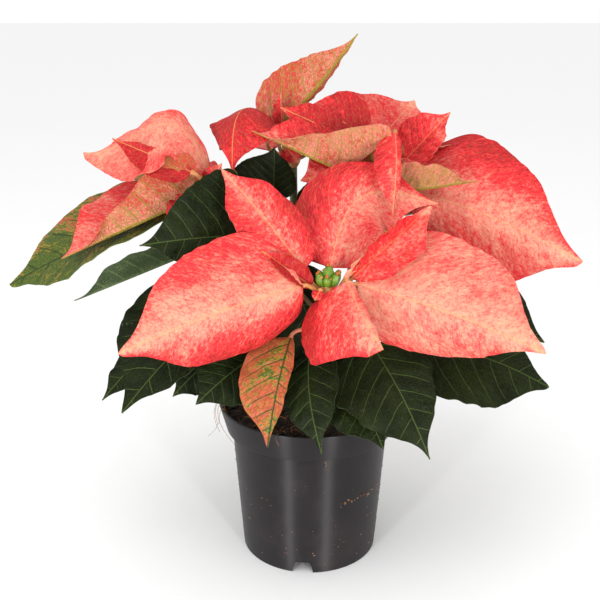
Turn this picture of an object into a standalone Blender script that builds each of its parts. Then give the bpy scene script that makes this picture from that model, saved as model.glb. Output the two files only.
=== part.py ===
"""Poinsettia in a nursery pot: pot, soil, stems, leaves, bract heads and flower cups.

Sizes are in millimetres from the pot's axis, with z = 0 at the pot's foot, +X to the right and
+Y away from the viewer. Everything is scaled to metres when the meshes are made.
"""
import math
from dataclasses import dataclass

import bmesh
import bpy
from mathutils import Matrix, Vector

MM = 0.001
GAP = 0.3                   # clearance between pieces that touch

# Pot
POT_HEIGHT = 104.0
RIM_RADIUS = 60.0
RIM_BAND = 18.3             # height of the band below the lip
RIM_FOOT_RADIUS = 55.0      # outer radius at the band's lower edge
WALL_TOP_RADIUS = 51.4
FOOT_RADIUS = 45.0
FOOT_WALL = 2.0
SKIRT = 8.5                 # height of the foot skirt below the floor
WALL = 1.2
POT_SIDES = 36
NOTCH_WIDTH = 11.0
NOTCH_HEIGHT = 8.0
NOTCH_TURN = -6.0           # degrees from straight ahead to the first notch
NOTCHES = 4
DRAIN_RADIUS = 4.5
DRAIN_CIRCLE = 33.0

# Soil
SOIL_TOP = 97.0
SOIL_BUMP = 1.6
SOIL_EDGE_DROP = 1.5
STEM_HOLE_BOTTOM = 72.0

# Stems
TRUNK_RADIUS = 5.0
SHOOT_RADIUS = 3.4
SHOOT_TOP_RADIUS = 2.7
FORK_HEIGHT = 112.0
TUBE_SIDES = 8
TUBE_RINGS = 5

# Blades
PETIOLE_RADIUS = 1.3
LEAF_PETIOLE_RADIUS = 1.6
RIB_THICKNESS = 1.2
EDGE_THICKNESS = 0.7
TIP_RADIUS = 0.4            # half of a blade's width at its tip
STATIONS = (0.0, 0.08, 0.22, 0.4, 0.58, 0.76, 0.9, 1.0)
PETIOLE_RINGS = 2

# Flower heads
HUB_RADIUS = 5.0
HUB_HEIGHT = 9.0
CUP_RADIUS = 3.6
CUP_HEIGHT = 10.5
CUP_SIDES = 6
OUTER_CUPS = 4
CUSHION_RADIUS = 3.8

BRACT_COLOUR = (0.86, 0.23, 0.19, 1.0)
LEAF_COLOUR = (0.035, 0.07, 0.03, 1.0)
TURNING_COLOUR = (0.28, 0.3, 0.06, 1.0)
STEM_COLOUR = (0.12, 0.13, 0.05, 1.0)
CUP_COLOUR = (0.22, 0.38, 0.03, 1.0)
POT_COLOUR = (0.045, 0.042, 0.046, 1.0)
SOIL_COLOUR = (0.03, 0.017, 0.01, 1.0)


@dataclass
class Blade:
    """One leaf or bract: a flat blade on a round stalk.

    base and tip are the ends of the midrib, face is where the upper side looks, and left and
    right are the halves seen from above with the tip ahead. Angles are in degrees.
    """
    base: tuple
    tip: tuple
    face: tuple
    width: float
    root: tuple = None
    leave: tuple = None         # direction in which the stalk leaves its root
    arch: float = 0.0           # rise of the midrib over its chord, as a share of the length
    sweep: float = 0.0          # sideways bow of the midrib to the right, as a share of the length
    peak: float = 0.5           # where along the midrib the arch and the sweep are largest
    sharp: float = 1.0          # how pointed the arch and the sweep are
    fold: tuple = (0.0, 0.0)    # rise of the left and right half from the rib
    curl: tuple = (0.0, 0.0)    # further bend of each half towards its margin
    split: tuple = (1.0, 1.0)   # width of each half against the mean
    skew: tuple = (0.0, 0.0)    # how far each margin runs ahead of the rib, as a share of its width
    twist: float = 0.0          # turn of the blade about its rib from base to tip
    wave: float = 0.0           # height of the waves in the margin
    waves: float = 2.0
    crown: tuple = (0.38, 0.38)  # where along the midrib each half is widest
    rise: float = 0.5           # how slowly the width grows from the base
    lobes: float = 0.0          # size of the two shoulder lobes on each side
    columns: int = 3            # cells across the blade plus one


HEAD_HUBS = {
    "front": (10, -45, 186),
    "left": (-48, 8, 232),
    "top": (-11, 69, 246),
    "right": (50, 37, 254),
    "back": (34, 88, 200),
}

HEAD_BRACTS = {
    "front": [
        Blade((-5, -52, 197), (-108, -78, 165), (0.15, -0.8, 0.6), 84, arch=0.08, fold=(-8, 4),
              curl=(-65, -8), split=(0.74, 1.0), crown=(0.42, 0.3), rise=0.34, columns=5),
        Blade((27, -52, 198), (132, -75, 164), (-0.15, -0.8, 0.6), 82, arch=0.08, fold=(4, -8),
              curl=(-8, -65), split=(1.08, 0.8), crown=(0.36, 0.27), rise=0.36, columns=5),
        Blade((-4, -42, 204), (-53, -15, 258), (0.1, -0.8, 0.55), 38, arch=0.06, rise=0.4, columns=5),
        Blade((0, -46, 195), (-28, -50, 217), (-0.2, -0.8, 0.5), 17, fold=(50, 20)),
        Blade((21, -53, 200), (38, -98, 175), (0.0, -0.6, 0.8), 58, sweep=0.04, arch=0.05, fold=(0, -10),
              curl=(0, -42), split=(0.12, 1.38), crown=(0.4, 0.45), skew=(0.0, -0.06), rise=0.22, columns=5),
        Blade((24, -46, 200), (68, -45, 242), (-0.5, -0.7, 0.45), 42, fold=(80, 10), split=(0.5, 1.0),
              crown=(0.5, 0.55), columns=5),
        Blade((12, -31, 202), (78, -8, 236), (0.0, -0.8, 0.55), 64, sweep=-0.34, arch=0.08,
              split=(0.95, 1.0), crown=(0.27, 0.38),
              columns=5),
        Blade((5, -52, 194), (2, -58, 190), (0, -0.7, 0.7), 7),
        Blade((20, -47, 200), (30, -48, 214), (-0.5, -0.8, 0.3), 4),
    ],
    "left": [
        Blade((-66, -5, 242), (-146, -40, 210), (-0.2, 0.1, 1.0), 62, fold=(75, 35),
              split=(1.0, 1.25), crown=(0.2, 0.5), skew=(-0.3, 0.0), rise=0.6, columns=5),
        Blade((-62, 6, 252), (-138, 0, 266), (0.1, -0.3, 0.95), 60, arch=0.37, peak=0.36, sharp=2,
              fold=(-30, 10), split=(1.0, 0.45), crown=(0.62, 0.3), columns=5),
        Blade((-70, 0, 251), (-116, -12, 273), (0.1, -0.9, 0.4), 34, fold=(15, 15), split=(0.8, 0.3)),
        Blade((-67, -10, 238), (-85, -17, 219), (-0.1, -1.0, 0.1), 28, arch=0.1),
        Blade((-64, -1, 243), (-54, -4, 260), (-0.2, -0.9, 0.3), 15),
        Blade((-66, 10, 246), (-118, 52, 236), (-0.3, 0.3, 0.9), 56, arch=0.1, fold=(15, 15)),
        Blade((-62, 17, 240), (-84, 52, 220), (0.0, 0.1, 1.0), 36, arch=0.12, fold=(15, 15)),
    ],
    "top": [
        Blade((-26, 50, 270), (31, 60, 334), (0.3, 0.9, -0.2), 58, sweep=-0.03, fold=(88, 10),
              split=(0.35, 1.12), crown=(0.36, 0.32), skew=(0.0, -0.1), rise=0.62, columns=5),
        Blade((-30, 45, 283), (-48, 2, 252), (-0.5, -0.6, 0.6), 64, arch=0.34, peak=0.42, fold=(-50, -15),
              split=(1.1, 0.78), columns=5),
        Blade((-18, 50, 270), (-19, 46, 298), (-0.7, -0.5, 0.2), 14, fold=(20, 20)),
        Blade((-16, 54, 262), (-7, 49, 252), (0.0, -0.9, 0.4), 16),
        Blade((-26, 74, 257), (-60, 110, 248), (-0.3, 0.2, 0.9), 46, arch=0.1, fold=(12, 12)),
        Blade((-10, 86, 257), (0, 136, 244), (0.0, 0.2, 0.95), 56, arch=0.12, fold=(12, 12)),
        Blade((4, 76, 258), (42, 108, 250), (0.0, 0.2, 0.95), 46, arch=0.08, fold=(12, 12)),
    ],
    "right": [
        Blade((22, 14, 252), (-36, 10, 278), (0.44, 0.29, 0.85), 78, fold=(58, 58), split=(1.0, 1.2),
              skew=(-0.5, -0.2), crown=(0.12, 0.4), columns=5),
        Blade((26, 34, 270), (-19, 31, 290), (0.2, -0.9, 0.4), 26),
        Blade((36, 38, 270), (-5, 52, 287), (0.0, -0.8, 0.6), 44, arch=0.16),
        Blade((46, 48, 268), (72, 80, 290), (-0.1, -0.7, 0.7), 58, fold=(12, 0), split=(1.45, 0.8),
              crown=(0.3, 0.4), skew=(-0.1, 0.0), columns=5),
        Blade((59, 24, 256), (87, 20, 288), (-0.5, -0.7, 0.5), 38, fold=(10, 20)),
        Blade((52, 8, 277), (48, -30, 234), (0.1, -0.8, 0.6), 18, arch=0.12, fold=(-20, -20),
              split=(0.4, 1.5)),
        Blade((52, 8, 240), (100, -8, 250), (0.0, 0.3, 0.95), 42, fold=(70, 50), split=(1.1, 0.9),
              crown=(0.16, 0.3), skew=(-0.2, 0.0)),
        Blade((62, 20, 240), (164, -25, 204), (0.1, -0.85, 0.5), 96, arch=0.08, fold=(0, -20),
              curl=(-15, -50), split=(1.13, 0.86), crown=(0.34, 0.55), skew=(-0.25, 0.0), columns=5),
        Blade((38, 24, 257), (-6, 10, 247), (0.0, -0.7, 0.7), 48),
        Blade((47, 21, 254), (38, 8, 226), (0.0, -0.8, 0.5), 34),
        Blade((60, 42, 258), (112, 84, 240), (0.2, 0.2, 0.95), 50, arch=0.12, fold=(12, 12)),
        Blade((53, 46, 262), (72, 102, 256), (0.1, 0.2, 0.95), 50, arch=0.14, fold=(12, 12)),
        Blade((42, 25, 251), (33, 10, 277), (0.1, 0.9, 0.3), 42),
    ],
    "back": [
        Blade((26, 94, 205), (-36, 124, 190), (-0.1, 0.3, 0.95), 62, arch=0.12, fold=(10, 10)),
        Blade((30, 98, 205), (0, 160, 186), (-0.1, 0.5, 0.85), 66, arch=0.12, fold=(10, 10)),
        Blade((38, 98, 205), (64, 158, 184), (0.1, 0.5, 0.85), 66, arch=0.12, fold=(10, 10)),
        Blade((44, 92, 205), (112, 112, 190), (0.2, 0.2, 0.95), 64, arch=0.12, fold=(10, 10)),
        Blade((34, 101, 206), (30, 130, 230), (0.0, -0.5, 0.85), 34, fold=(15, 15)),
        Blade((46, 84, 206), (88, 78, 214), (0.1, -0.1, 1.0), 34, fold=(15, 15)),
    ],
}

# Green leaves: the shoot that carries each one, the height at which it leaves, and its blade.
LEAVES = {
    "leaf_left_turning": ("left", 205, Blade(
        (-82, 5, 231), (-181, -30, 191), (0.0, -0.6, 0.8), 56, arch=0.04, wave=5, waves=0.8, fold=(20, 0),
        split=(0.85, 1.3), crown=(0.55, 0.36), skew=(0.35, 0.0), columns=5)),
    "leaf_left_twisted": ("left", 184, Blade(
        (-68, -6, 208), (-143, -30, 181), (0.0, 0.3, 0.95), 32, fold=(50, 20), wave=2)),
    "leaf_left_upper": ("top", 176, Blade(
        (-40, -12, 217), (-99, -45, 219), (0.1, -0.85, 0.5), 60, arch=0.06, fold=(-10, 15),
        split=(0.7, 1.35), crown=(0.3, 0.28), skew=(0.0, -0.2), columns=5)),
    "leaf_left_low": ("left", 140, Blade(
        (-43, -20, 178), (-110, -70, 125), (-0.4, -0.8, 0.4), 74, arch=0.1, split=(0.5, 1.25))),
    "leaf_left_behind": ("left", 150, Blade(
        (-92, -12, 152), (-129, -36, 118), (-0.4, -0.8, 0.4), 24, arch=0.05)),
    "leaf_left_jagged": ("left", 126, Blade(
        (-50, -18, 148), (-86, -30, 118), (-0.2, -0.8, 0.5), 34, arch=0.1, wave=2, waves=4)),
    "leaf_left_inner": ("front", 122, Blade(
        (-32, -34, 148), (-68, -60, 126), (-0.1, -0.8, 0.5), 44, arch=0.12)),
    "leaf_top_front": ("top", 214, Blade(
        (-24, 39, 229), (-23, 41, 264), (0.1, -0.95, 0.3), 60, split=(1.0, 0.5), crown=(0.3, 0.3),
        skew=(0.1, 0.0))),
    "leaf_middle_behind": ("top", 190, Blade(
        (10, 56, 206), (3, 62, 244), (0.2, -0.9, 0.2), 34)),
    "leaf_front_turning": ("front", 168, Blade(
        (-12, -46, 163), (-25, -86, 111), (-0.2, -0.9, 0.2), 34, arch=0.1, split=(0.35, 1.4),
        columns=5)),
    "leaf_front_middle": ("front", 158, Blade(
        (-1, -40, 152), (6, -82, 105), (-0.35, -0.85, 0.3), 38, arch=0.12, crown=(0.32, 0.32))),
    "leaf_front_inner": ("front", 176, Blade(
        (-15, -31, 203), (8, -23, 138), (0.0, -0.95, -0.1), 48, arch=0.02, split=(0.6, 1.4))),
    "leaf_front_right": ("front", 152, Blade(
        (37, -40, 156), (68, -85, 103), (0.1, -0.85, 0.5), 64, arch=0.12, split=(0.75, 1.12),
        crown=(0.28, 0.28), lobes=0.08, columns=5)),
    "leaf_front_low": ("front", 126, Blade(
        (20, -38, 140), (42, -76, 105), (0.1, -0.8, 0.6), 50, arch=0.1)),
    "leaf_right_low": ("right", 140, Blade(
        (73, -30, 152), (140, -60, 137), (0.0, -0.6, 0.8), 62, arch=0.1, split=(0.64, 1.1), rise=0.35,
        columns=5)),
    "leaf_right_behind": ("right", 156, Blade(
        (76, 12, 174), (146, -22, 151), (0.1, -0.6, 0.8), 60, arch=0.1)),
    "leaf_right_back": ("right", 190, Blade(
        (84, 46, 200), (140, 92, 178), (0.2, 0.2, 0.95), 58, arch=0.1)),
    "leaf_top_back": ("top", 200, Blade(
        (-34, 92, 216), (-62, 146, 194), (-0.1, 0.3, 0.95), 56, arch=0.1)),
    "leaf_back_left": ("left", 160, Blade(
        (-58, 42, 176), (-104, 100, 142), (-0.2, 0.2, 0.95), 64, arch=0.1)),
    "leaf_back_middle": ("back", 130, Blade(
        (6, 74, 150), (-26, 138, 114), (-0.1, 0.3, 0.95), 62, arch=0.1)),
    "leaf_back_right": ("back", 146, Blade(
        (64, 84, 164), (122, 126, 136), (0.2, 0.3, 0.95), 64, arch=0.1)),
    "leaf_back_low": ("back", 124, Blade(
        (40, 58, 134), (66, 112, 106), (0.1, 0.3, 0.95), 50, arch=0.1)),
}


def normal_part(vector, axis):
    """The share of a vector at right angles to an axis, as a unit vector."""
    return (vector - axis * vector.dot(axis)).normalized()


def outline(blade, s, side):
    """Width of one half at s, from 0 at the base to 1 at the tip, as a share of its most."""
    crown = blade.crown[side]
    rise = blade.rise * (crown / 0.38) ** 0.5
    fall = rise * (1 - crown) / crown
    most = crown ** rise * (1 - crown) ** fall
    share = s ** rise * (1 - s) ** fall / most
    drip = min(max((s - 0.7) / 0.25, 0.0), 1.0)
    share *= 1 - 0.6 * drip * drip * (3 - 2 * drip)
    for place, size in ((0.36, 1.0), (0.6, 0.8)):
        share += blade.lobes * size * max(0.0, 1 - abs(s - place) / 0.08)
    return share


def rib_point(blade, s):
    """Point of the midrib at s."""
    base, tip = Vector(blade.base), Vector(blade.tip)
    chord = tip - base
    along = chord.normalized()
    up = normal_part(Vector(blade.face), along)
    bump = math.sin(math.pi * s ** (math.log(0.5) / math.log(blade.peak))) ** blade.sharp
    right = along.cross(up)
    return base + chord * s + (up * blade.arch + right * blade.sweep) * (chord.length * bump)


def rib_frame(blade, s):
    """Directions along the rib, to the right and up from the blade at s."""
    step = 0.01
    along = (rib_point(blade, min(s + step, 1.0)) - rib_point(blade, max(s - step, 0.0))).normalized()
    up = normal_part(Vector(blade.face), along)
    up.rotate(Matrix.Rotation(math.radians(blade.twist * s), 3, along))
    return along, along.cross(up), up


def surface_point(blade, s, t):
    """Point of the blade's middle surface; t runs from -1 at the left margin to 1 at the right."""
    along, right, up = rib_frame(blade, s)
    side = 1 if t > 0 else 0
    reach = abs(t)
    share = outline(blade, s, side)
    half = max(share * blade.width / 2 * blade.split[side], PETIOLE_RADIUS * (1 - s) + TIP_RADIUS)
    fold = math.radians(blade.fold[side]) * min(1.0, 3 * share)
    bend = math.radians(blade.curl[side]) * reach
    if abs(bend) < 0.01:
        out, rise = math.cos(fold), math.sin(fold)
    else:
        out = (math.sin(fold + bend) - math.sin(fold)) / bend
        rise = (math.cos(fold) - math.cos(fold + bend)) / bend
    ripple = blade.wave * share * reach ** 2
    ripple *= math.sin(2 * math.pi * blade.waves * s + 1.7 * side)
    turn = 1 if side else -1
    return (rib_point(blade, s) + right * (turn * half * reach * out)
            + up * (half * reach * rise + ripple) + along * (blade.skew[side] * half * reach))


def blade_ring(blade, s):
    """Closed ring round the blade at s: over the upper side, then back under it."""
    step = 0.02
    marks = [2 * i / (blade.columns - 1) - 1 for i in range(blade.columns)]
    upper, lower = [], []
    for t in marks:
        side = -1 if t > 0 else 1
        ahead = surface_point(blade, min(s + step, 1.0), t) - surface_point(blade, max(s - step, 0.0), t)
        across = (surface_point(blade, s, t + step * side) - surface_point(blade, s, t)) * side
        up = across.cross(ahead).normalized()
        if t == 0:
            up = rib_frame(blade, s)[2]
        thick = RIB_THICKNESS + (EDGE_THICKNESS - RIB_THICKNESS) * abs(t)
        point = surface_point(blade, s, t)
        upper.append(point + up * (thick / 2))
        lower.append(point - up * (thick / 2))
    return upper + lower[::-1]


def stalk_ring(centre, along, up, radius, columns):
    """Round ring whose points match the order of blade_ring."""
    right = along.cross(up)
    step = math.pi / columns
    angles = [math.pi - step * (i + 0.5) for i in range(columns)]
    angles += [-a for a in angles[::-1]]
    return [centre + right * (radius * math.cos(a)) + up * (radius * math.sin(a)) for a in angles]


def bezier(points, u):
    """Point of a cubic Bezier curve."""
    a, b, c, d = points
    v = 1 - u
    return a * v ** 3 + b * (3 * v * v * u) + c * (3 * v * u * u) + d * u ** 3


def stalk_rings(blade, radius):
    """Rings of the stalk from its root to just before the blade's first ring."""
    root, base = Vector(blade.root), Vector(blade.base)
    along, _, up = rib_frame(blade, 0.0)
    span = (base - root).length
    leave = Vector(blade.leave).normalized() if blade.leave else (base - root).normalized()
    curve = (root, root + leave * span * 0.5, base - along * span * 0.35, base)
    rings = []
    for i in range(PETIOLE_RINGS):
        u = i / PETIOLE_RINGS
        ahead = (bezier(curve, u + 0.02) - bezier(curve, u)).normalized()
        rings.append(stalk_ring(bezier(curve, u), ahead, normal_part(up, ahead), radius, blade.columns))
    return rings


def loft(mesh, rings):
    """Skin a list of rings with triangles and close both ends."""
    loops = [[mesh.verts.new(point * MM) for point in ring] for ring in rings]
    count = len(loops[0])
    half = count // 2
    for low, high in zip(loops, loops[1:]):
        for i in range(count):
            j = (i + 1) % count
            if i < half:
                mesh.faces.new((low[i], low[j], high[j]))
                mesh.faces.new((low[i], high[j], high[i]))
            else:
                mesh.faces.new((low[i], low[j], high[i]))
                mesh.faces.new((low[j], high[j], high[i]))
    mesh.faces.new(loops[0][::-1])
    mesh.faces.new(loops[-1])
    bmesh.ops.recalc_face_normals(mesh, faces=mesh.faces[:])


def material(name, colour, roughness=0.55):
    """Principled material of one colour."""
    made = bpy.data.materials.new(name)
    made.use_nodes = True
    shader = made.node_tree.nodes["Principled BSDF"]
    shader.inputs["Base Color"].default_value = colour
    shader.inputs["Roughness"].default_value = roughness
    return made


def add_object(name, mesh, finish):
    """Turn a bmesh into a named object with one material."""
    data = bpy.data.meshes.new(name)
    mesh.to_mesh(data)
    mesh.free()
    made = bpy.data.objects.new(name, data)
    bpy.context.collection.objects.link(made)
    if finish:
        data.materials.append(finish)
    data.shade_smooth()
    data.set_sharp_from_angle(angle=math.radians(40))
    return made


def blade_object(name, blade, finish, radius=PETIOLE_RADIUS):
    """One blade with its stalk as an object of its own."""
    mesh = bmesh.new()
    rings = stalk_rings(blade, radius) + [blade_ring(blade, s) for s in STATIONS]
    loft(mesh, rings)
    return add_object(name, mesh, finish)


def fuse(name, pieces, finish, solver="EXACT"):
    """Join closed pieces into one closed body with a Boolean union."""
    rest = bpy.data.collections.new(name + "_pieces")
    bpy.context.scene.collection.children.link(rest)
    first = pieces[0]
    for piece in pieces[1:]:
        bpy.context.collection.objects.unlink(piece)
        rest.objects.link(piece)
    join = first.modifiers.new("join", "BOOLEAN")
    join.operation = "UNION"
    join.operand_type = "COLLECTION"
    join.collection = rest
    join.solver = solver
    joined = bpy.data.meshes.new_from_object(first.evaluated_get(bpy.context.evaluated_depsgraph_get()))
    for piece in pieces:
        bpy.data.objects.remove(piece)
    bpy.data.collections.remove(rest)
    made = bpy.data.objects.new(name, joined)
    bpy.context.collection.objects.link(made)
    joined.materials.clear()
    joined.materials.append(finish)
    return made


def turned(name, profile, sides, finish):
    """Solid turned about z from a closed profile of (radius, height) points."""
    mesh = bmesh.new()
    columns = []
    for radius, height in profile:
        if radius < 0.001:
            columns.append([mesh.verts.new((0, 0, height * MM))] * sides)
            continue
        angles = [2 * math.pi * i / sides for i in range(sides)]
        columns.append([mesh.verts.new((radius * MM * math.cos(a), radius * MM * math.sin(a), height * MM))
                        for a in angles])
    closed = profile[0][0] > 0.001
    pairs = list(zip(columns, columns[1:] + columns[:1])) if closed else list(zip(columns, columns[1:]))
    for low, high in pairs:
        for i in range(sides):
            j = (i + 1) % sides
            corners = []
            for vert in (low[i], low[j], high[j], high[i]):
                if vert not in corners:
                    corners.append(vert)
            mesh.faces.new(corners)
    bmesh.ops.recalc_face_normals(mesh, faces=mesh.faces[:])
    return add_object(name, mesh, finish)


def wall_radius(height):
    """Outer radius of the pot below its rim band."""
    band_foot = POT_HEIGHT - RIM_BAND
    return FOOT_RADIUS + (WALL_TOP_RADIUS - FOOT_RADIUS) * height / band_foot


def band_radius(height):
    """Outer radius of the rim band."""
    band_foot = POT_HEIGHT - RIM_BAND
    return RIM_FOOT_RADIUS + (RIM_RADIUS - RIM_FOOT_RADIUS) * (height - band_foot) / RIM_BAND


def cut(target, cutter):
    """Take one cutter out of an object, and remove the cutter."""
    change = target.modifiers.new("cut", "BOOLEAN")
    change.operation = "DIFFERENCE"
    change.object = cutter
    graph = bpy.context.evaluated_depsgraph_get()
    left = bpy.data.meshes.new_from_object(target.evaluated_get(graph))
    target.modifiers.clear()
    target.data = left
    bpy.data.objects.remove(cutter)


def make_pot():
    """Pot with its band, lip, raised floor, drain holes and notched foot skirt."""
    finish = material("pot_plastic", POT_COLOUR, 0.38)
    band_foot = POT_HEIGHT - RIM_BAND
    floor = SKIRT + WALL
    profile = [
        (0, SKIRT), (FOOT_RADIUS - FOOT_WALL, SKIRT), (FOOT_RADIUS - FOOT_WALL, 0),
        (FOOT_RADIUS - 0.5, 0), (FOOT_RADIUS, 0.6), (wall_radius(SKIRT), SKIRT),
        (wall_radius(band_foot), band_foot), (RIM_FOOT_RADIUS - 0.4, band_foot),
        (RIM_FOOT_RADIUS, band_foot + 0.5), (RIM_RADIUS, POT_HEIGHT - 0.8),
        (RIM_RADIUS - 0.5, POT_HEIGHT), (RIM_RADIUS - WALL - 0.3, POT_HEIGHT),
        (band_radius(band_foot + WALL) - WALL, band_foot + WALL),
        (wall_radius(band_foot) - WALL, band_foot + WALL),
        (wall_radius(floor) - WALL, floor), (0, floor),
    ]
    pot = turned("pot", profile, POT_SIDES, finish)
    for i in range(NOTCHES):
        turn = math.radians(NOTCH_TURN - 90 + 360 * i / NOTCHES)
        cut(pot, notch_cutter(turn))
        cut(pot, drain_cutter(turn))
    return pot


def notch_cutter(turn):
    """Round-topped wedge that cuts one notch through the foot skirt."""
    mesh = bmesh.new()
    half = NOTCH_WIDTH / 2
    flare, shoulder = 1.5, 2.5
    shape = [(-half - flare, -1), (half + flare, -1), (half, NOTCH_HEIGHT - shoulder),
             (half - shoulder, NOTCH_HEIGHT), (-half + shoulder, NOTCH_HEIGHT),
             (-half, NOTCH_HEIGHT - shoulder)]
    near, far = FOOT_RADIUS - 8, FOOT_RADIUS + 5
    rings = [[Vector((reach, y, z)) for y, z in shape] for reach in (near, far)]
    loft(mesh, rings)
    cutter = add_object("notch_cutter", mesh, None)
    cutter.rotation_euler.z = turn
    hide_cutter(cutter)
    return cutter


def drain_cutter(turn):
    """Cylinder that cuts one drain hole through the floor."""
    mesh = bmesh.new()
    bmesh.ops.create_cone(mesh, cap_ends=True, segments=12, radius1=DRAIN_RADIUS * MM,
                          radius2=DRAIN_RADIUS * MM, depth=3 * WALL * MM)
    cutter = add_object("drain_cutter", mesh, None)
    cutter.location = (DRAIN_CIRCLE * MM * math.cos(turn), DRAIN_CIRCLE * MM * math.sin(turn),
                       (SKIRT + WALL / 2) * MM)
    hide_cutter(cutter)
    return cutter


def hide_cutter(cutter):
    """Mark a cutter so that it never shows."""
    cutter.hide_render = True
    cutter.display_type = "WIRE"


def make_soil():
    """Peat that fills the pot, with a bumpy top and a plain hole for the trunk."""
    finish = material("peat", SOIL_COLOUR, 0.95)
    band_foot = POT_HEIGHT - RIM_BAND
    floor = SKIRT + WALL + GAP
    hole = TRUNK_RADIUS + GAP
    shelf = band_foot + WALL + GAP
    edge = band_radius(SOIL_TOP - SOIL_EDGE_DROP) - WALL - 2 * GAP
    profile = [(0, STEM_HOLE_BOTTOM), (hole, STEM_HOLE_BOTTOM), (hole, SOIL_TOP)]
    profile += [(hole + (edge - hole) * i / 4, SOIL_TOP) for i in range(1, 4)]
    profile += [(edge, SOIL_TOP - SOIL_EDGE_DROP), (band_radius(shelf) - WALL - 2 * GAP, shelf),
                (wall_radius(band_foot) - WALL - 2 * GAP, shelf),
                (wall_radius(floor) - WALL - 2 * GAP, floor), (0, floor)]
    soil = turned("soil", profile, POT_SIDES, finish)
    for vert in soil.data.vertices:
        x, y, z = (c / MM for c in vert.co)
        reach = math.hypot(x, y)
        if z > SOIL_TOP - 1 and reach > hole + 1:
            vert.co.z += SOIL_BUMP * MM * math.sin(0.31 * x + 1.3) * math.cos(0.27 * y - 0.6)
    return soil


def shoot_curve(name):
    """Bezier points of one shoot's centre line, from inside the fork to its head."""
    x, y, z = HEAD_HUBS[name]
    top = Vector((x, y, z - GAP))
    foot = Vector((0, 0, FORK_HEIGHT - 10))
    rise = (top - foot).length
    outward = Vector((x, y, 0)) * 0.5
    return foot, foot + outward + Vector((0, 0, rise * 0.35)), top - Vector((0, 0, rise * 0.35)), top


def shoot_radius(u):
    """Radius of a shoot, from its foot at 0 to its head at 1."""
    return SHOOT_RADIUS + (SHOOT_TOP_RADIUS - SHOOT_RADIUS) * u


def shoot_mark(name, height):
    """Where along a shoot's curve it passes a height."""
    low, high = 0.0, 1.0
    curve = shoot_curve(name)
    for _ in range(24):
        middle = (low + high) / 2
        if bezier(curve, middle).z < height:
            low = middle
        else:
            high = middle
    return low


def tube(name, centres, radii, finish):
    """Round tube with flat ends along a list of centre points."""
    mesh = bmesh.new()
    rings = []
    for i, (centre, radius) in enumerate(zip(centres, radii)):
        before, after = centres[max(i - 1, 0)], centres[min(i + 1, len(centres) - 1)]
        along = (after - before).normalized()
        if i == len(centres) - 1:
            along = Vector((0, 0, 1))
        right = normal_part(Vector((1, 0, 0)), along)
        ahead = along.cross(right)
        angles = [2 * math.pi * k / TUBE_SIDES for k in range(TUBE_SIDES)]
        rings.append([centre + right * (radius * math.cos(a)) + ahead * (radius * math.sin(a))
                      for a in angles])
    loft(mesh, rings)
    return add_object(name, mesh, finish)


def make_stems():
    """Trunk and its shoots, grown as one piece."""
    finish = material("stem_bark", STEM_COLOUR, 0.7)
    heights = (STEM_HOLE_BOTTOM + GAP, SOIL_TOP, FORK_HEIGHT - 6, FORK_HEIGHT)
    radii = (TRUNK_RADIUS, TRUNK_RADIUS, TRUNK_RADIUS + 1, TRUNK_RADIUS - 0.6)
    pieces = [tube("trunk", [Vector((0, 0, z)) for z in heights], radii, finish)]
    for name in HEAD_HUBS:
        marks = [i / TUBE_RINGS for i in range(TUBE_RINGS + 1)]
        centres = [bezier(shoot_curve(name), u) for u in marks]
        pieces.append(tube(name, centres, [shoot_radius(u) for u in marks], finish))
    return fuse("stems", pieces, finish)


def make_leaves():
    """Green leaves, each with its stalk ending just off the shoot that carries it."""
    green = material("leaf_green", LEAF_COLOUR, 0.5)
    turning = material("leaf_turning", TURNING_COLOUR, 0.5)
    for name, (shoot, height, blade) in LEAVES.items():
        curve = shoot_curve(shoot)
        mark = shoot_mark(shoot, height)
        centre = bezier(curve, mark)
        rise = (bezier(curve, mark + 0.01) - centre).normalized()
        leave = normal_part(Vector(blade.base) - centre, rise)
        blade.root = centre + leave * (shoot_radius(mark) * 1.15 + GAP)
        blade.leave = leave
        finish = turning if "turning" in name else green
        blade_object(name, blade, finish, LEAF_PETIOLE_RADIUS)


def make_head(name):
    """Whorl of bracts fused to the hub on top of one shoot."""
    finish = material("bract_" + name, BRACT_COLOUR)
    hub = Vector(HEAD_HUBS[name])
    heights = (0, HUB_HEIGHT * 0.3, HUB_HEIGHT * 0.8, HUB_HEIGHT)
    radii = (SHOOT_TOP_RADIUS, HUB_RADIUS * 0.9, HUB_RADIUS, HUB_RADIUS * 0.8)
    pieces = [tube("hub", [hub + Vector((0, 0, z)) for z in heights], radii, finish)]
    for i, blade in enumerate(HEAD_BRACTS[name]):
        middle = hub + Vector((0, 0, HUB_HEIGHT * 0.55))
        away = (Vector(blade.base) - middle).normalized()
        blade.root = middle + away * (HUB_RADIUS * 0.3)
        blade.leave = Vector((away.x, away.y, 0))
        pieces.append(blade_object(f"{name}_bract_{i}", blade, finish))
    return fuse("bracts_" + name, pieces, finish, "MANIFOLD")


def make_cup(centre, lean, turn, size, finish):
    """One flower cup: a small green egg that leans outwards."""
    mesh = bmesh.new()
    up = Vector((math.sin(lean) * math.cos(turn), math.sin(lean) * math.sin(turn), math.cos(lean)))
    right = normal_part(Vector((0.3, 1, 0)), up)
    ahead = up.cross(right)
    rings = []
    for height, radius in ((0, 0.6), (0.5, 1.0), (1, 0.45)):
        angles = [2 * math.pi * k / CUP_SIDES for k in range(CUP_SIDES)]
        reach = radius * CUP_RADIUS * size
        rings.append([centre + up * (height * CUP_HEIGHT * size) + right * (reach * math.cos(a))
                      + ahead * (reach * math.sin(a)) for a in angles])
    loft(mesh, rings)
    return add_object("cup", mesh, finish)


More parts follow.
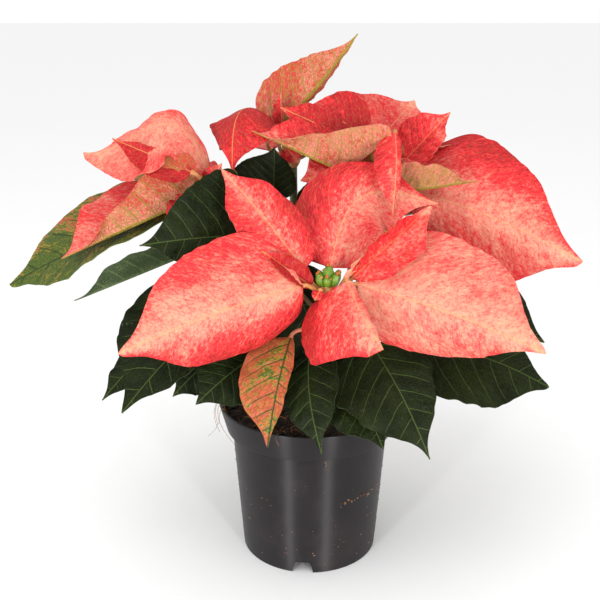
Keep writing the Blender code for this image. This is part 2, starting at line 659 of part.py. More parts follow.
def make_cups(name):
    """Cluster of flower cups in the middle of one head."""
    finish = material("cups_" + name, CUP_COLOUR, 0.35)
    foot = Vector(HEAD_HUBS[name]) + Vector((0, 0, HUB_HEIGHT + GAP))
    pieces = [tube("cushion", [foot + Vector((0, 0, z)) for z in (0, 1.4)],
                   (CUSHION_RADIUS, CUSHION_RADIUS), finish)]
    pieces.append(make_cup(foot + Vector((0, 0, 1)), 0, 0, 1.0, finish))
    for i in range(OUTER_CUPS):
        turn = 2 * math.pi * i / OUTER_CUPS + 0.4
        spot = foot + Vector((2.8 * math.cos(turn), 2.8 * math.sin(turn), 0.4))
        pieces.append(make_cup(spot, math.radians(22), turn, 0.72 + 0.12 * (i % 2), finish))
    return fuse("cups_" + name, pieces, finish)


def set_on_origin():
    """Shift everything so that the middle of the whole box's foot is the origin."""
    solids = [o for o in bpy.context.scene.objects if o.type == "MESH"]
    corners = [o.matrix_world @ Vector(c) for o in solids for c in o.bound_box]
    low = Vector([min(c[i] for c in corners) for i in range(3)])
    high = Vector([max(c[i] for c in corners) for i in range(3)])
    plant = bpy.data.objects.new("plant", None)
    bpy.context.collection.objects.link(plant)
    plant.location = (-(low.x + high.x) / 2, -(low.y + high.y) / 2, -low.z)
    for solid in solids:
        solid.parent = plant


def main():
    """Build the plant from an empty scene."""
    for old in list(bpy.data.objects):
        bpy.data.objects.remove(old)
    make_pot()
    make_soil()
    make_stems()
    make_leaves()
    for name in HEAD_HUBS:
        make_head(name)
        make_cups(name)
    bpy.context.view_layer.update()
    set_on_origin()


main()
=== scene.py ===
"""Poinsettia in a nursery pot: bracts, leaves, flower cups, stems, peat and pot in full finish.

Sizes in the tables are millimetres from the pot's axis, with z = 0 under the pot's foot, +X to the
right and +Y away from the viewer. The pot's place in the frame sets them all on the frame.
"""
import math
import random
from dataclasses import dataclass

import bmesh
import bpy
import numpy as np
from mathutils import Matrix, Vector, noise


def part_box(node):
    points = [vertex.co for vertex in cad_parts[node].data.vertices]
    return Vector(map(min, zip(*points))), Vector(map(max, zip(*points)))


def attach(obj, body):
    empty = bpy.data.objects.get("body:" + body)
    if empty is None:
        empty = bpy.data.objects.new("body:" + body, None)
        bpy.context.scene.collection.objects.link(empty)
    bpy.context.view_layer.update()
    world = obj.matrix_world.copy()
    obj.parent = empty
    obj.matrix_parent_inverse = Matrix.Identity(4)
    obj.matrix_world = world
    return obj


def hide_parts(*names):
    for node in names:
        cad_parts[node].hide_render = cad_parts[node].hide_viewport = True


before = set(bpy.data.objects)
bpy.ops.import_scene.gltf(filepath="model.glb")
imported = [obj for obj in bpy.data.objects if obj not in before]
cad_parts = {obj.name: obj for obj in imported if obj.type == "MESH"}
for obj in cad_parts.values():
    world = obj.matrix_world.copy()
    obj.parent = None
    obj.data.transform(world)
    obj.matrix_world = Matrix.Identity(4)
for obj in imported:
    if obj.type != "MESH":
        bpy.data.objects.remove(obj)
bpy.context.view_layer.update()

bl_info = {
    "name": "Potted poinsettia",
    "version": (1, 0, 0),
    "blender": (4, 5, 0),
    "location": "View3D > Sidebar > Poinsettia",
    "description": "Builds a marbled poinsettia in a nursery pot, piece by piece",
    "category": "Add Mesh",
}

MM = 0.001
POT_LOW, POT_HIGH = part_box("pot")
POT_AXIS = Vector(((POT_LOW.x + POT_HIGH.x) / 2, (POT_LOW.y + POT_HIGH.y) / 2, POT_LOW.z))

# Blade grid
ROWS = 54                   # cells along a blade
COLUMNS = 34                # cells across a blade
STALK_ROWS = 10
END_DRAW = 0.35             # how far the rows draw together towards the blade's ends
RIB_DRAW = 1.25             # how far the columns draw together towards the rib
FOOT_HALF = 1.3             # least half width at the base, on top of the tip's
TIP_RADIUS = 0.4            # least half width at the tip
MEAN_CROWN = 0.38           # where along the midrib a blade is widest
SHOULDERS = ((0.36, 1.0), (0.6, 0.8))       # place along the blade and size of its shoulder lobes
SHOULDER_REACH = 0.08       # how far a lobe reaches each way along the blade
LATERAL_SLOPE = 0.55        # how far a side vein runs forward for each step outwards
LATERAL_BEND = 0.012        # further forward bend, for each millimetre outwards
GRAIN_STEP = 10.0           # length of one step of the grain map
FIRST_SEED = 0.37
GOLDEN = 0.618034           # step between seeds, which spreads them evenly
LEAF_SEEDS = 60             # number of the first leaf's seed, after the bracts' own

# Shoots, as the solids carry them
FORK_HEIGHT = 112.0
STEM_HOLE_BOTTOM = 72.0
HUB_RADIUS = 5.0
HUB_HEIGHT = 9.0
LEAF_SWELL = 0.7            # how far a shoot swells where a leaf leaves it
GAP = 0.3                   # air between bodies that touch

# Values that a mesh hands to its materials: place along and across the piece, place in its grain,
# number of the nearest side vein, and redness with the piece's seed
MAPS = ("span", "grain", "laterals", "tone")

# Layers of the marbling: scale along and across the blade, then how much of the patches' and of the
# flecks' strength the layer takes
MARBLING = (
    (0.5, 0.5, 1.0, 0.0),
    (1.9, 1.5, 0.6, 0.0),
    (5.2, 4.4, 0.0, 1.0),
    (12.0, 10.0, 0.0, 0.8),
)

# Sections as (radius, height): a flower cup and its gland as shares of their size, and a stamen's tip
# in millimetres on a cup of radius STAMEN_CUP
CUP_SECTION = ((0.45, 0.0), (0.75, 0.12), (0.95, 0.3), (1.0, 0.48), (0.95, 0.64), (0.8, 0.78),
               (0.62, 0.88), (0.55, 0.95), (0.58, 1.0), (0.48, 1.0), (0.42, 0.93), (0.1, 0.9))
GLAND_SECTION = ((0.2, 0.0), (0.8, 0.15), (1.0, 0.5), (0.85, 0.7), (0.6, 0.6), (0.2, 0.35))
STAMEN_SECTION = ((0.18, -0.9), (0.42, -0.35), (0.55, 0.0), (0.42, 0.4), (0.12, 0.55))
STAMEN_CUP = 3.2
CUP_SIDES = 25
STAMENS = 7

# Pot and peat
POT_SIDES = 180
POT_CREASE = 35.0           # sharper edges than this stay hard, in degrees
NOTCHES = 4
PEAT_SIDES = 150
PEAT_RINGS = 44
PEAT_FIT = 0.5              # air between the peat and the pot's wall
PEAT_SHOULDER = 1.5         # how far the peat's edge lies below its surface
CRUMB_CREASE = 60.0
TRUNK_CLEARANCE = 7         # no crumb or fibre lies closer to the trunk's middle
SPLASH_ROW = 14             # dried crumbs in a row on the pot's right side
LOOSE_SPLASHES = 170

# The fibre that sticks to the pot: angle around the pot, distance from the wall, height
STUCK_FIBRE = ((-82, 3.4, 91), (-79, 3.2, 88), (-82, 2.6, 85.5), (-79, 3.4, 83), (-81, 2.2, 80.5),
               (-78, 3.0, 79))

# Studio, in metres: name of each light, its place from the pot's axis, its width and height, and the
# setting that holds its power
LIGHTS = (
    ("key", (-0.45, -0.9, 1.7), (1.2, 1.2), "key"),
    ("left_strip", (-0.6, -1.05, 0.2), (0.1, 0.4), "strip"),
    ("right_strip", (0.5, -1.1, 0.2), (0.1, 0.4), "strip"),
)
LIGHT_AIM = 0.18            # height of the point that the lights face
FLOOR_REACH = 40.0

# Root hairs over the rim: angle around the pot, then for each further point how far it hangs below
# the rim's top, how far it stands out from the rim and how far it strays sideways.
ROOT_HAIRS = (
    (188, ((3, 2.2, 0), (9, 2.6, 1), (15, 1.0, 2), (20, 4.0, 1), (24, 8.0, -1))),
    (192, ((4, 1.5, 1), (10, 1.0, 3), (14, -1.5, 10), (17, -4.5, 17), (19, -7.5, 24))),
    (184, ((4, 2.5, 0), (10, 3.6, 1), (16, 2.4, 2), (21, -0.4, 5))),
    (199, ((3, 1.4, 0), (8, 1.2, -1), (12, 3.0, -2))),
    (250, ((3, 1.2, 0), (6, 1.0, 2))),
)


@dataclass
class Blade:
    """One leaf or bract: a thin blade on a round stalk.

    base and tip are the ends of the midrib, face is where the upper side looks, and left and
    right are the halves seen from above with the tip ahead. Angles are in degrees.
    """
    base: tuple
    tip: tuple
    face: tuple
    width: float
    arch: float = 0.0           # rise of the midrib over its chord, as a share of the length
    sweep: float = 0.0          # sideways bow of the midrib to the right, as a share of the length
    peak: float = 0.5           # where along the midrib the arch and the sweep are largest
    sharp: float = 1.0          # how pointed the arch and the sweep are
    fold: tuple = (0.0, 0.0)    # rise of the left and right half from the rib
    curl: tuple = (0.0, 0.0)    # further bend of each half towards its margin
    split: tuple = (1.0, 1.0)   # width of each half against the mean
    skew: tuple = (0.0, 0.0)    # how far each margin runs ahead of the rib, as a share of its width
    wave: float = 0.0           # height of the waves in the margin
    waves: float = 2.0
    crown: tuple = (MEAN_CROWN, MEAN_CROWN)     # where along the midrib each half is widest
    rise: float = 0.5           # how slowly the width grows from the base
    lobes: float = 0.0          # size of the two shoulder lobes on each side
    red: tuple = (0.45, 0.45)   # how red each half is at its margin: 0 pale, 1 red, more crimson
    depth: float = 0.2          # how red it is along the rib, on the same scale


HEAD_HUBS = {
    "front": (10, -45, 186),
    "left": (-48, 8, 232),
    "top": (-11, 69, 246),
    "right": (50, 37, 254),
    "back": (34, 88, 200),
}

# Bracts that hang in shade are given high red and depth values: their deep red and crimson is partly their
# own colour and partly painted shade.
HEAD_BRACTS = {
    "front": [
        Blade((-5, -52, 197), (-108, -78, 165), (0.15, -0.8, 0.6), 84, arch=0.08, fold=(-8, 4),
              curl=(-65, -8), split=(0.74, 1.0), crown=(0.42, 0.3), rise=0.34, red=(1.25, 0.8),
              depth=0.12),
        Blade((27, -52, 198), (132, -75, 164), (-0.15, -0.8, 0.6), 82, arch=0.08, fold=(4, -8),
              curl=(-8, -65), split=(1.08, 0.8), crown=(0.36, 0.27), rise=0.36, red=(0.45, 0.55),
              depth=0.13),
        Blade((-4, -42, 204), (-53, -15, 258), (0.1, -0.8, 0.55), 38, arch=0.06, rise=0.4,
              red=(1.05, 1.25), depth=0.4),
        Blade((0, -46, 195), (-28, -50, 217), (-0.2, -0.8, 0.5), 17, fold=(50, 20), red=(1.7, 1.7),
              depth=1.7),
        Blade((21, -53, 200), (38, -98, 175), (0.0, -0.6, 0.8), 58, sweep=0.04, arch=0.05, fold=(0, -10),
              curl=(0, -42), split=(0.12, 1.38), crown=(0.4, 0.56), skew=(0.0, -0.06), rise=0.22,
              red=(0.4, 1.4), depth=0.25),
        Blade((24, -46, 200), (68, -45, 242), (-0.5, -0.7, 0.45), 42, fold=(80, 10), split=(0.5, 1.0),
              crown=(0.5, 0.55), red=(0.95, 0.85), depth=0.5),
        Blade((12, -31, 202), (78, -8, 236), (0.0, -0.8, 0.55), 64, sweep=-0.34, arch=0.08,
              split=(0.95, 1.2), crown=(0.27, 0.38), red=(1.35, 0.6), depth=0.35),
        Blade((5, -52, 194), (2, -58, 190), (0, -0.7, 0.7), 7, red=(1, 1), depth=1.0),
        Blade((20, -47, 200), (30, -48, 214), (-0.5, -0.8, 0.3), 4, red=(0, 0), depth=0.0),
    ],
    "left": [
        Blade((-66, -5, 242), (-146, -40, 210), (-0.2, 0.1, 1.0), 62, fold=(75, 35), split=(1.0, 1.25),
              crown=(0.2, 0.5), skew=(-0.3, 0.0), rise=0.6, red=(0.95, 0.8), depth=0.5),
        Blade((-62, 6, 252), (-138, 0, 266), (0.1, -0.3, 0.95), 60, arch=0.37, peak=0.36, sharp=2,
              fold=(-30, 10), split=(1.0, 0.45), crown=(0.62, 0.3), red=(0.55, 0.5), depth=0.15),
        # Deep crimson, partly painted shade: the inside of this bract lies in shade.
        Blade((-72, -10, 256), (-116, -20, 277), (0.1, -0.9, 0.4), 34, fold=(15, 15), split=(0.8, 0.3),
              red=(1.7, 1.7), depth=1.6),
        # Deep crimson, partly painted shade: this bract hangs low in shade.
        Blade((-67, -10, 238), (-85, -17, 219), (-0.1, -1.0, 0.1), 28, arch=0.1, red=(1.6, 1.6),
              depth=1.6),
        Blade((-64, -1, 243), (-54, -4, 260), (-0.2, -0.9, 0.3), 15, red=(0.8, 0.8), depth=0.6),
        Blade((-66, 10, 246), (-118, 52, 236), (-0.3, 0.3, 0.9), 56, arch=0.1, fold=(15, 15),
              red=(0.6, 0.7), depth=0.2),
        Blade((-62, 17, 240), (-84, 52, 220), (0.0, 0.1, 1.0), 36, arch=0.12, fold=(15, 15),
              red=(0.7, 0.7), depth=0.3),
    ],
    "top": [
        Blade((-26, 50, 270), (31, 60, 334), (0.3, 0.9, -0.2), 58, sweep=-0.03, fold=(88, 10),
              split=(0.35, 1.12), crown=(0.36, 0.32), skew=(0.0, -0.1), rise=0.62, red=(1.0, 0.9),
              depth=0.7),
        Blade((-27, 45, 283), (-48, 2, 252), (-0.5, -0.6, 0.6), 64, arch=0.37, peak=0.42, fold=(-45, -15),
              split=(1.1, 0.92), crown=(0.3, 0.28), red=(1.45, 1.45), depth=1.35),
        Blade((-18, 50, 270), (-19, 46, 298), (-0.7, -0.5, 0.2), 14, fold=(20, 20), red=(1, 1),
              depth=0.9),
        # Deep red, partly painted shade: this small bract lies in shade.
        Blade((-16, 54, 262), (-7, 49, 252), (0.0, -0.9, 0.4), 16, red=(1, 1), depth=0.9),
        Blade((-26, 74, 257), (-60, 110, 248), (-0.3, 0.2, 0.9), 46, arch=0.1, fold=(12, 12),
              red=(0.8, 0.8), depth=0.4),
        Blade((-10, 86, 257), (0, 136, 244), (0.0, 0.2, 0.95), 56, arch=0.12, fold=(12, 12),
              red=(0.5, 0.7), depth=0.15),
        Blade((4, 76, 258), (42, 108, 250), (0.0, 0.2, 0.95), 46, arch=0.08, fold=(12, 12),
              red=(0.7, 0.6), depth=0.3),
    ],
    "right": [
        Blade((22, 14, 252), (-36, 10, 278), (0.44, 0.29, 0.85), 78, fold=(58, 58), split=(1.0, 0.8),
              skew=(-0.5, -0.2), crown=(0.12, 0.4), red=(0.5, 1.25), depth=0.65),
        # Deep crimson, partly painted shade: the inside of this bract lies in shade.
        Blade((26, 34, 270), (-19, 31, 290), (0.2, -0.9, 0.4), 26, red=(1.5, 1.5), depth=1.4),
        Blade((36, 38, 270), (-5, 52, 287), (0.0, -0.8, 0.6), 44, arch=0.16, red=(1.35, 1.35), depth=1.25),
        Blade((46, 48, 268), (72, 80, 290), (-0.1, -0.7, 0.7), 58, fold=(12, 0), split=(1.45, 0.8),
              crown=(0.3, 0.4), skew=(-0.1, 0.0), red=(0.7, 0.7), depth=0.5),
        # Deep red, partly painted shade: the upper side of this bract lies in shade.
        Blade((59, 24, 256), (87, 20, 288), (-0.5, -0.7, 0.5), 38, fold=(10, 20), red=(1.0, 1.0),
              depth=0.9),
        Blade((52, 8, 277), (48, -30, 234), (0.1, -0.8, 0.6), 18, arch=0.12, fold=(-20, -20),
              split=(0.4, 1.5), red=(0.8, 0.95), depth=0.65),
        Blade((52, 8, 240), (100, -8, 250), (0.0, 0.3, 0.95), 42, fold=(70, 50), split=(1.1, 0.9),
              crown=(0.16, 0.3), skew=(-0.2, 0.0), red=(0.5, 0.5), depth=0.3),
        Blade((62, 20, 240), (164, -25, 204), (0.1, -0.85, 0.5), 96, arch=0.08, fold=(0, -20),
              curl=(-15, -50), split=(1.13, 0.86), crown=(0.34, 0.55), skew=(-0.25, 0.0), red=(1.15, 0.85),
              depth=0.2),
        Blade((38, 24, 257), (-6, 10, 247), (0.0, -0.7, 0.7), 48, red=(0.9, 0.9), depth=0.8),
        Blade((47, 21, 254), (38, 8, 226), (0.0, -0.8, 0.5), 34, red=(0.9, 0.9), depth=0.8),
        Blade((60, 42, 258), (112, 84, 240), (0.2, 0.2, 0.95), 50, arch=0.12, fold=(12, 12),
              red=(0.6, 0.6), depth=0.2),
        Blade((53, 46, 262), (72, 102, 256), (0.1, 0.2, 0.95), 50, arch=0.14, fold=(12, 12),
              red=(0.6, 0.8), depth=0.25),
        Blade((42, 25, 251), (33, 10, 277), (0.1, 0.9, 0.3), 42, red=(0.8, 0.8), depth=0.6),
    ],
    "back": [
        Blade((26, 94, 205), (-36, 124, 190), (-0.1, 0.3, 0.95), 62, arch=0.12, fold=(10, 10),
              red=(0.6, 0.5), depth=0.15),
        Blade((30, 98, 205), (0, 160, 186), (-0.1, 0.5, 0.85), 66, arch=0.12, fold=(10, 10),
              red=(0.4, 0.6), depth=0.1),
        Blade((38, 98, 205), (64, 158, 184), (0.1, 0.5, 0.85), 66, arch=0.12, fold=(10, 10),
              red=(0.7, 0.6), depth=0.2),
        Blade((44, 92, 205), (112, 112, 190), (0.2, 0.2, 0.95), 64, arch=0.12, fold=(10, 10),
              red=(0.5, 0.4), depth=0.12),
        Blade((34, 101, 206), (30, 130, 230), (0.0, -0.5, 0.85), 34, fold=(15, 15), red=(0.9, 0.9),
              depth=0.5),
        Blade((46, 84, 206), (88, 78, 214), (0.1, -0.1, 1.0), 34, fold=(15, 15), red=(0.8, 0.8),
              depth=0.4),
    ],
}

# Green leaves: the shoot that carries each one, the height at which it leaves, and its blade.
LEAVES = {
    "leaf_left_turning": ("left", 205, Blade(
        (-82, 5, 231), (-181, -30, 191), (0.0, -0.6, 0.8), 56, arch=0.04, wave=5, waves=0.8, fold=(20, 0),
        split=(0.85, 1.3), crown=(0.55, 0.36), skew=(0.35, 0.0), red=(0.2, 0.6), depth=0.13)),
    "leaf_left_twisted": ("left", 184, Blade(
        (-68, -6, 208), (-143, -30, 181), (0.0, 0.3, 0.95), 32, fold=(50, 20), wave=2,
        split=(1.0, 0.6))),
    "leaf_left_upper": ("top", 176, Blade(
        (-40, -12, 217), (-99, -45, 219), (0.1, -0.85, 0.5), 60, arch=0.06, fold=(-10, 15),
        split=(0.7, 1.35), crown=(0.3, 0.28), skew=(0.0, -0.2))),
    "leaf_left_low": ("left", 140, Blade(
        (-43, -20, 178), (-110, -70, 125), (-0.4, -0.8, 0.4), 74, arch=0.1, split=(0.5, 1.25))),
    "leaf_left_behind": ("left", 150, Blade(
        (-92, -12, 152), (-129, -36, 118), (-0.4, -0.8, 0.4), 24, arch=0.05)),
    "leaf_left_jagged": ("left", 126, Blade(
        (-50, -18, 148), (-86, -30, 118), (-0.2, -0.8, 0.5), 34, arch=0.1, wave=2, waves=4)),
    "leaf_left_inner": ("front", 122, Blade(
        (-32, -34, 148), (-68, -60, 126), (-0.1, -0.8, 0.5), 44, arch=0.12)),
    "leaf_top_front": ("top", 214, Blade(
        (-24, 39, 229), (-23, 41, 264), (0.1, -0.95, 0.3), 60, split=(1.0, 0.5), crown=(0.3, 0.3),
        skew=(0.1, 0.0))),
    "leaf_middle_behind": ("top", 190, Blade(
        (10, 56, 206), (3, 62, 244), (0.2, -0.9, 0.2), 34)),
    "leaf_front_turning": ("front", 168, Blade(
        (-12, -46, 163), (-25, -86, 111), (-0.2, -0.9, 0.2), 34, arch=0.1, split=(0.35, 1.4),
        red=(0.9, 0.8), depth=0.52)),
    "leaf_front_middle": ("front", 158, Blade(
        (-1, -40, 152), (6, -82, 105), (-0.35, -0.85, 0.3), 38, arch=0.12, crown=(0.32, 0.32))),
    "leaf_front_inner": ("front", 176, Blade(
        (-15, -31, 203), (20, -28, 122), (0.0, -0.95, -0.1), 54, arch=0.02, split=(0.9, 1.4))),
    "leaf_front_right": ("front", 152, Blade(
        (37, -40, 156), (68, -85, 103), (0.1, -0.85, 0.5), 64, arch=0.12, split=(0.75, 1.12),
        crown=(0.28, 0.28), lobes=0.08)),
    "leaf_front_low": ("front", 126, Blade(
        (20, -38, 140), (42, -76, 105), (0.1, -0.8, 0.6), 50, arch=0.1)),
    "leaf_right_low": ("right", 140, Blade(
        (69, -30, 153), (140, -60, 137), (0.0, -0.6, 0.8), 64, arch=0.1, split=(0.64, 1.1), rise=0.35)),
    "leaf_right_behind": ("right", 156, Blade(
        (76, 12, 174), (146, -22, 151), (0.1, -0.6, 0.8), 60, arch=0.1)),
    "leaf_right_back": ("right", 190, Blade(
        (84, 46, 200), (140, 92, 178), (0.2, 0.2, 0.95), 58, arch=0.1)),
    "leaf_top_back": ("top", 200, Blade(
        (-34, 92, 216), (-62, 146, 194), (-0.1, 0.3, 0.95), 56, arch=0.1)),
    "leaf_back_left": ("left", 160, Blade(
        (-58, 42, 176), (-104, 100, 142), (-0.2, 0.2, 0.95), 64, arch=0.1)),
    "leaf_back_middle": ("back", 130, Blade(
        (6, 74, 150), (-26, 138, 114), (-0.1, 0.3, 0.95), 62, arch=0.1)),
    "leaf_back_right": ("back", 146, Blade(
        (64, 84, 164), (122, 126, 136), (0.2, 0.3, 0.95), 64, arch=0.1)),
    "leaf_back_low": ("back", 124, Blade(
        (40, 58, 134), (66, 112, 106), (0.1, 0.3, 0.95), 50, arch=0.1)),
}


def mm(length):
    """A setting's length, kept in metres, as millimetres."""
    return length / MM


def unit(vectors):
    """Vectors of length one."""
    return vectors / np.linalg.norm(vectors, axis=-1, keepdims=True)


def normal_part(vectors, axis):
    """The share of vectors at right angles to an axis, as unit vectors."""
    return unit(vectors - axis * np.sum(vectors * axis, axis=-1, keepdims=True))


def smooth(value, low, high):
    """Soft step from 0 at low to 1 at high."""
    share = np.clip((value - low) / (high - low), 0.0, 1.0)
    return share * share * (3 - 2 * share)


class Skin:
    """Points, faces, finishes and map values of one piece while it is put together."""

    def __init__(self):
        self.points, self.faces, self.finishes = [], [], []
        self.maps = {name: [] for name in MAPS}
        self.count = 0

    def add(self, points, faces, finish, maps=None):
        """Add one body; finish is a slot number for all its faces, or one number for each."""
        points = np.asarray(points, float).reshape(-1, 3)
        self.faces += [[i + self.count for i in face] for face in faces]
        self.finishes += [finish] * len(faces) if isinstance(finish, int) else list(finish)
        self.points.append(points)
        for name in MAPS:
            values = maps[name] if maps and name in maps else np.zeros((len(points), 2))
            self.maps[name].append(np.asarray(values, float).reshape(-1, 2))
        self.count += len(points)

    def build(self, name, finishes, crease=50.0):
        """Make the object at the pot's place, with a map for each set of values."""
        mesh = bpy.data.meshes.new(name)
        mesh.from_pydata(np.concatenate(self.points) * MM, [], self.faces)
        for finish in finishes:
            mesh.materials.append(finish)
        mesh.polygons.foreach_set("material_index", self.finishes)
        face_outwards(mesh)
        corners = np.zeros(len(mesh.loops), int)
        mesh.loops.foreach_get("vertex_index", corners)
        for label in MAPS:
            layer = mesh.uv_layers.new(name=label)
            layer.data.foreach_set("uv", np.concatenate(self.maps[label])[corners].ravel())
        mesh.shade_smooth()
        mesh.set_sharp_from_angle(angle=math.radians(crease))
        made = bpy.data.objects.new(name, mesh)
        made.location = POT_AXIS
        bpy.context.collection.objects.link(made)
        return made


def face_outwards(mesh):
    """Turn the faces of each closed body outwards."""
    body = bmesh.new()
    body.from_mesh(mesh)
    bmesh.ops.recalc_face_normals(body, faces=body.faces[:])
    body.to_mesh(mesh)
    body.free()


def settle(piece, slot, *nodes):
    """Let a piece ride in the frame in place of its solids; slot is not used."""
    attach(piece, "root")
    if nodes:
        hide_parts(*nodes)


def ring_faces(rings, sides):
    """Faces between closed rings of points, and one at each end."""
    faces = []
    for r in range(rings - 1):
        for k in range(sides):
            j = (k + 1) % sides
            faces.append((r * sides + k, r * sides + j, (r + 1) * sides + j, (r + 1) * sides + k))
    faces.append(tuple(range(sides))[::-1])
    faces.append(tuple(range((rings - 1) * sides, rings * sides)))
    return faces


def bezier(points, u):
    """Points of a cubic Bezier curve at an array of places."""
    a, b, c, d = (np.asarray(p, float) for p in points)
    u = np.atleast_1d(u)[:, None]
    v = 1 - u
    return a * v ** 3 + b * (3 * v * v * u) + c * (3 * v * u * u) + d * u ** 3


def tube_rings(centres, radii, sides):
    """Rings of a round tube along a line of centres."""
    centres = np.asarray(centres, float)
    along = unit(np.gradient(centres, axis=0))
    hint = np.array((0.0, 0.0, 1.0))
    if abs(np.dot(hint, along[0])) > 0.9:
        hint = np.array((1.0, 0.0, 0.0))
    right = normal_part(np.broadcast_to(hint, along.shape), along)
    ahead = np.cross(along, right)
    turn = np.linspace(0, 2 * math.pi, sides, endpoint=False)[None, :, None]
    radii = np.broadcast_to(np.asarray(radii, float), (len(centres),))[:, None, None]
    return centres[:, None] + radii * (right[:, None] * np.cos(turn) + ahead[:, None] * np.sin(turn))


def add_tube(skin, centres, radii, sides, finish, seed=0.0):
    """Add a round tube with flat ends, with its length and its turn on the span map."""
    rings = tube_rings(centres, radii, sides)
    count = len(rings)
    s, t = np.meshgrid(np.linspace(0, 1, count), np.linspace(-1, 1, sides), indexing="ij")
    maps = {"span": np.stack([s, t], -1), "grain": np.stack([s * 4, t], -1),
            "tone": np.stack([np.zeros_like(s), np.full_like(s, seed)], -1)}
    skin.add(rings, ring_faces(count, sides), finish, maps)


def outline(blade, s, side):
    """Width of one half at s, from 0 at the base to 1 at the tip, as a share of its most."""
    crown = blade.crown[side]
    rise = blade.rise * (crown / MEAN_CROWN) ** 0.5
    fall = rise * (1 - crown) / crown
    most = crown ** rise * (1 - crown) ** fall
    share = s ** rise * (1 - s) ** fall / most
    share = share * (1 - 0.6 * smooth(s, 0.7, 0.95))
    for place, size in SHOULDERS:
        share = share + blade.lobes * size * np.clip(1 - abs(s - place) / SHOULDER_REACH, 0, None)
    return share


def rib_points(blade, s):
    """Points of the midrib at an array of places."""
    base, tip = np.array(blade.base, float), np.array(blade.tip, float)
    chord = tip - base
    along = unit(chord)
    up = normal_part(np.array(blade.face, float), along)
    right = np.cross(along, up)
    place = np.clip(s, 0, 1) ** (math.log(0.5) / math.log(blade.peak))
    bump = np.clip(np.sin(math.pi * place), 0, 1) ** blade.sharp
    bow = (up * blade.arch + right * blade.sweep) * np.linalg.norm(chord)
    return base + s[:, None] * chord + bump[:, None] * bow


def rib_frames(blade, s):
    """Directions along the rib, to the right and up from the blade."""
    step = 0.01
    ahead, behind = np.minimum(s + step, 1.0), np.maximum(s - step, 0.0)
    along = unit(rib_points(blade, ahead) - rib_points(blade, behind))
    up = normal_part(np.broadcast_to(np.array(blade.face, float), along.shape), along)
    return along, np.cross(along, up), up


def section_turn(blade, side, reach, share):
    """How far a half's points lie out from the rib and above it, each for one step outwards."""
    fold = np.radians(np.take(blade.fold, side)) * np.minimum(1.0, 3 * share)
    bend = np.radians(np.take(blade.curl, side)) * reach
    flat = abs(bend) < 0.01
    turn = np.where(flat, 1.0, bend)
    out = np.where(flat, np.cos(fold), (np.sin(fold + bend) - np.sin(fold)) / turn)
    rise = np.where(flat, np.sin(fold), (np.cos(fold) - np.cos(fold + bend)) / turn)
    return out, rise


def margin_waves(blade, s, side, ruffle, seed):
    """Height of the waves and of the loose ruffles at the margin, for each row."""
    s = s[:, None]
    wave = blade.wave * np.sin(2 * math.pi * blade.waves * s + 1.7 * side)
    sway = s + 0.31 * side + seed
    return wave, ruffle * (np.sin(16.3 * sway) + 0.5 * np.sin(31.7 * sway + 2))


def blade_length(blade):
    """Length of the midrib's chord."""
    return np.linalg.norm(np.array(blade.tip, float) - np.array(blade.base, float))


def blade_grid(blade, s, t, style, seed):
    """Middle surface of a blade, with each point's distance from the rib and its side vein count."""
    along, right, up = (d[:, None] for d in rib_frames(blade, s))
    span = blade_length(blade)
    side = (t > 0).astype(int)
    reach = abs(t)[None]
    share = np.where(side, outline(blade, s, 1)[:, None], outline(blade, s, 0)[:, None])
    half = share * blade.width / 2 * np.take(blade.split, side)
    half = np.maximum(half, (FOOT_HALF * (1 - s) + TIP_RADIUS)[:, None])
    across = half * reach
    ahead = (s * span)[:, None] - LATERAL_SLOPE * across - LATERAL_BEND * across ** 2
    count = ahead * style.laterals / span + 0.5 * side
    fade = smooth(across, 0.0, 6.0) * np.minimum(1.0, 2 * share)
    half = half * (1 + style.scallop * fade * np.cos(2 * math.pi * count))
    out, rise = section_turn(blade, side, reach, share)
    wave, ruffle = margin_waves(blade, s, side, mm(style.ruffle), seed)
    lift = share * (wave * reach ** 2 + ruffle * reach ** 3)
    sign = np.where(side, 1, -1)
    points = (rib_points(blade, s)[:, None] + right * (sign * half * reach * out)[..., None]
              + up * (half * reach * rise + lift)[..., None]
              + along * (np.take(blade.skew, side) * half * reach)[..., None])
    return points, across * sign, ahead, count, fade


def blade_normals(points):
    """Unit normals of a grid of points, towards the blade's upper side."""
    ahead = np.gradient(points, axis=0)
    across = np.gradient(points, axis=1)
    return unit(np.cross(across, ahead))


def relief(count, across, ahead, fade, seed):
    """Height of the soft pillows between the side veins, and of looser puckers."""
    pillow = abs(np.sin(math.pi * count)) ** 0.7 - 0.6
    pucker = np.sin(0.31 * ahead + 9 * seed) * np.sin(0.37 * across + 5 * seed)
    pucker += 0.6 * np.sin(0.83 * ahead + 0.4 * across + 7 * seed)
    return (pillow + 0.35 * pucker) * fade


def stalk_rings(blade, root, leave, radius, columns):
    """Rings of the stalk from its root to just before the blade's first ring."""
    root, base = np.array(root, float), np.array(blade.base, float)
    along, _, up = (d[0] for d in rib_frames(blade, np.array([0.0, 0.1])))
    span = np.linalg.norm(base - root)
    leave = unit(np.array(leave, float))
    curve = (root, root + leave * span * 0.5, base - along * span * 0.35, base)
    u = np.arange(STALK_ROWS) / STALK_ROWS
    centres = bezier(curve, u)
    ahead = unit(bezier(curve, u + 0.02) - centres)
    over = normal_part(np.broadcast_to(up, ahead.shape), ahead)
    right = np.cross(ahead, over)
    step = math.pi / columns
    angles = [math.pi - step * (i + 0.5) for i in range(columns)]
    angles = np.array(angles + [-a for a in angles[::-1]])[None, :, None]
    thick = radius * (1.15 - 0.3 * u)[:, None, None]
    return centres[:, None] + thick * (right[:, None] * np.cos(angles) + over[:, None] * np.sin(angles))


def blade_places():
    """Places of a blade's rows, from 0 to 1, and of its columns, from -1 at the left to 1."""
    even = np.linspace(0, 1, ROWS + 1)
    drawn = (1 - np.cos(np.linspace(0, math.pi, ROWS + 1))) / 2
    marks = np.linspace(-1, 1, COLUMNS + 1)
    return END_DRAW * drawn + (1 - END_DRAW) * even, np.sign(marks) * abs(marks) ** RIB_DRAW


